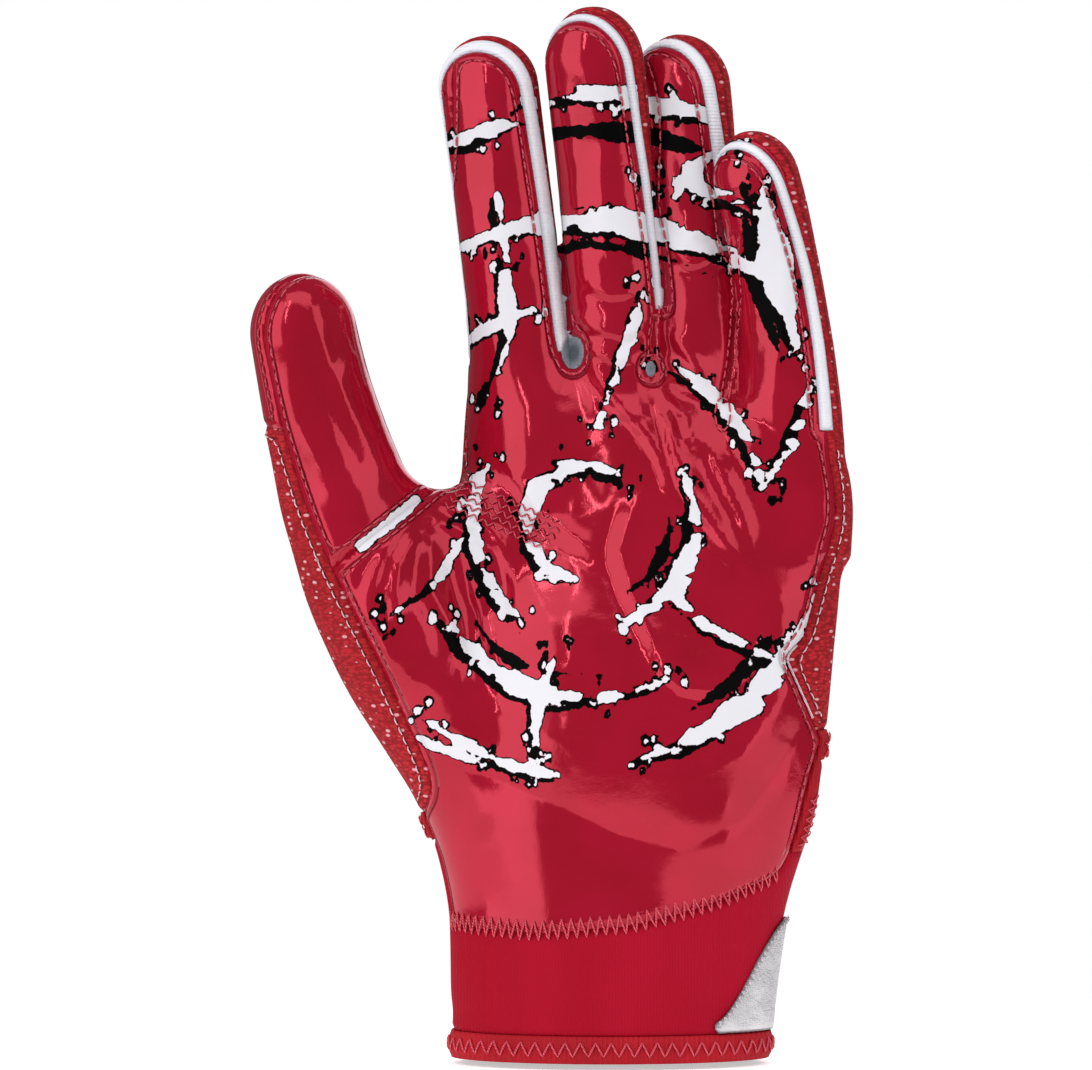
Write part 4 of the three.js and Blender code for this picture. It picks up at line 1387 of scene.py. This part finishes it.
scene = bpy.context.scene
camera_data = bpy.data.cameras.new("camera")
camera = bpy.data.objects.new("camera", camera_data)
scene.collection.objects.link(camera)
camera.location = (-0.0154, -CAMERA_DISTANCE, 0.125)
camera.rotation_euler = (math.pi / 2, 0, 0)
camera_data.sensor_width = SENSOR_WIDTH
camera_data.lens = SENSOR_WIDTH * CAMERA_DISTANCE / VIEW_WIDTH
scene.camera = camera


def softbox(name, place, target, width, height, watts):
    data = bpy.data.lights.new(name, "AREA")
    data.shape = "RECTANGLE"
    data.size, data.size_y = width, height
    data.energy = watts
    data.color = (1.0, 0.955, 1.025)
    light = bpy.data.objects.new(name, data)
    light.location = place
    aim = Vector(target) - Vector(place)
    light.rotation_euler = aim.to_track_quat("-Z", "Y").to_euler()
    scene.collection.objects.link(light)


middle = (-0.01, 0.0, 0.12)
softbox("left_box", (-1.3, -0.95, 0.35), middle, 1.2, 2.2, 17)
softbox("strip", (-0.55, -1.2, 0.75), middle, 0.05, 0.9, 1.6)
softbox("right_box", (1.25, -1.0, 0.35), middle, 0.8, 2.0, 8)
softbox("top_box", (0.0, -0.9, 1.35), middle, 1.6, 0.7, 6)
softbox("back_box", (0.3, 1.5, 0.9), middle, 1.6, 1.2, 9)

# The camera sees a white backdrop, while a dimmer room lights the glove and shows in its shine.
world = bpy.data.worlds.new("studio")
world.use_nodes = True
tree = world.node_tree
backdrop = tree.nodes["Background"]
backdrop.inputs["Color"].default_value = (1, 1, 1, 1)
backdrop.inputs["Strength"].default_value = 1.0
room = tree.nodes.new("ShaderNodeBackground")
room.inputs["Color"].default_value = (1, 1, 1, 1)
light_path = tree.nodes.new("ShaderNodeLightPath")
dimmer = tree.nodes.new("ShaderNodeMapRange")
dimmer.inputs["To Min"].default_value = 0.15
dimmer.inputs["To Max"].default_value = 0.55
tree.links.new(light_path.outputs["Is Diffuse Ray"], dimmer.inputs["Value"])
tree.links.new(dimmer.outputs[0], room.inputs["Strength"])
chooser = tree.nodes.new("ShaderNodeMixShader")
tree.links.new(light_path.outputs["Is Camera Ray"], chooser.inputs[0])
tree.links.new(room.outputs[0], chooser.inputs[1])
tree.links.new(backdrop.outputs[0], chooser.inputs[2])
tree.links.new(chooser.outputs[0], tree.nodes["World Output"].inputs["Surface"])
scene.world = world
scene.view_settings.view_transform = "Standard"

floor_mesh = bpy.data.meshes.new("floor")
floor_mesh.from_pydata([(-0.3, -0.2, 0), (0.3, -0.2, 0), (0.3, 0.2, 0), (-0.3, 0.2, 0)], [], [(0, 1, 2, 3)])
floor = bpy.data.objects.new("floor", floor_mesh)
floor.location = (0, 0, -0.0015)
scene.collection.objects.link(floor)
pale = Shader("pale_floor", roughness=0.6)
pale.principled.inputs["Emission Color"].default_value = (1, 1, 1, 1)
pale.principled.inputs["Emission Strength"].default_value = 0.5
floor_mesh.materials.append(pale.finish((0.9, 0.9, 0.9, 1)))
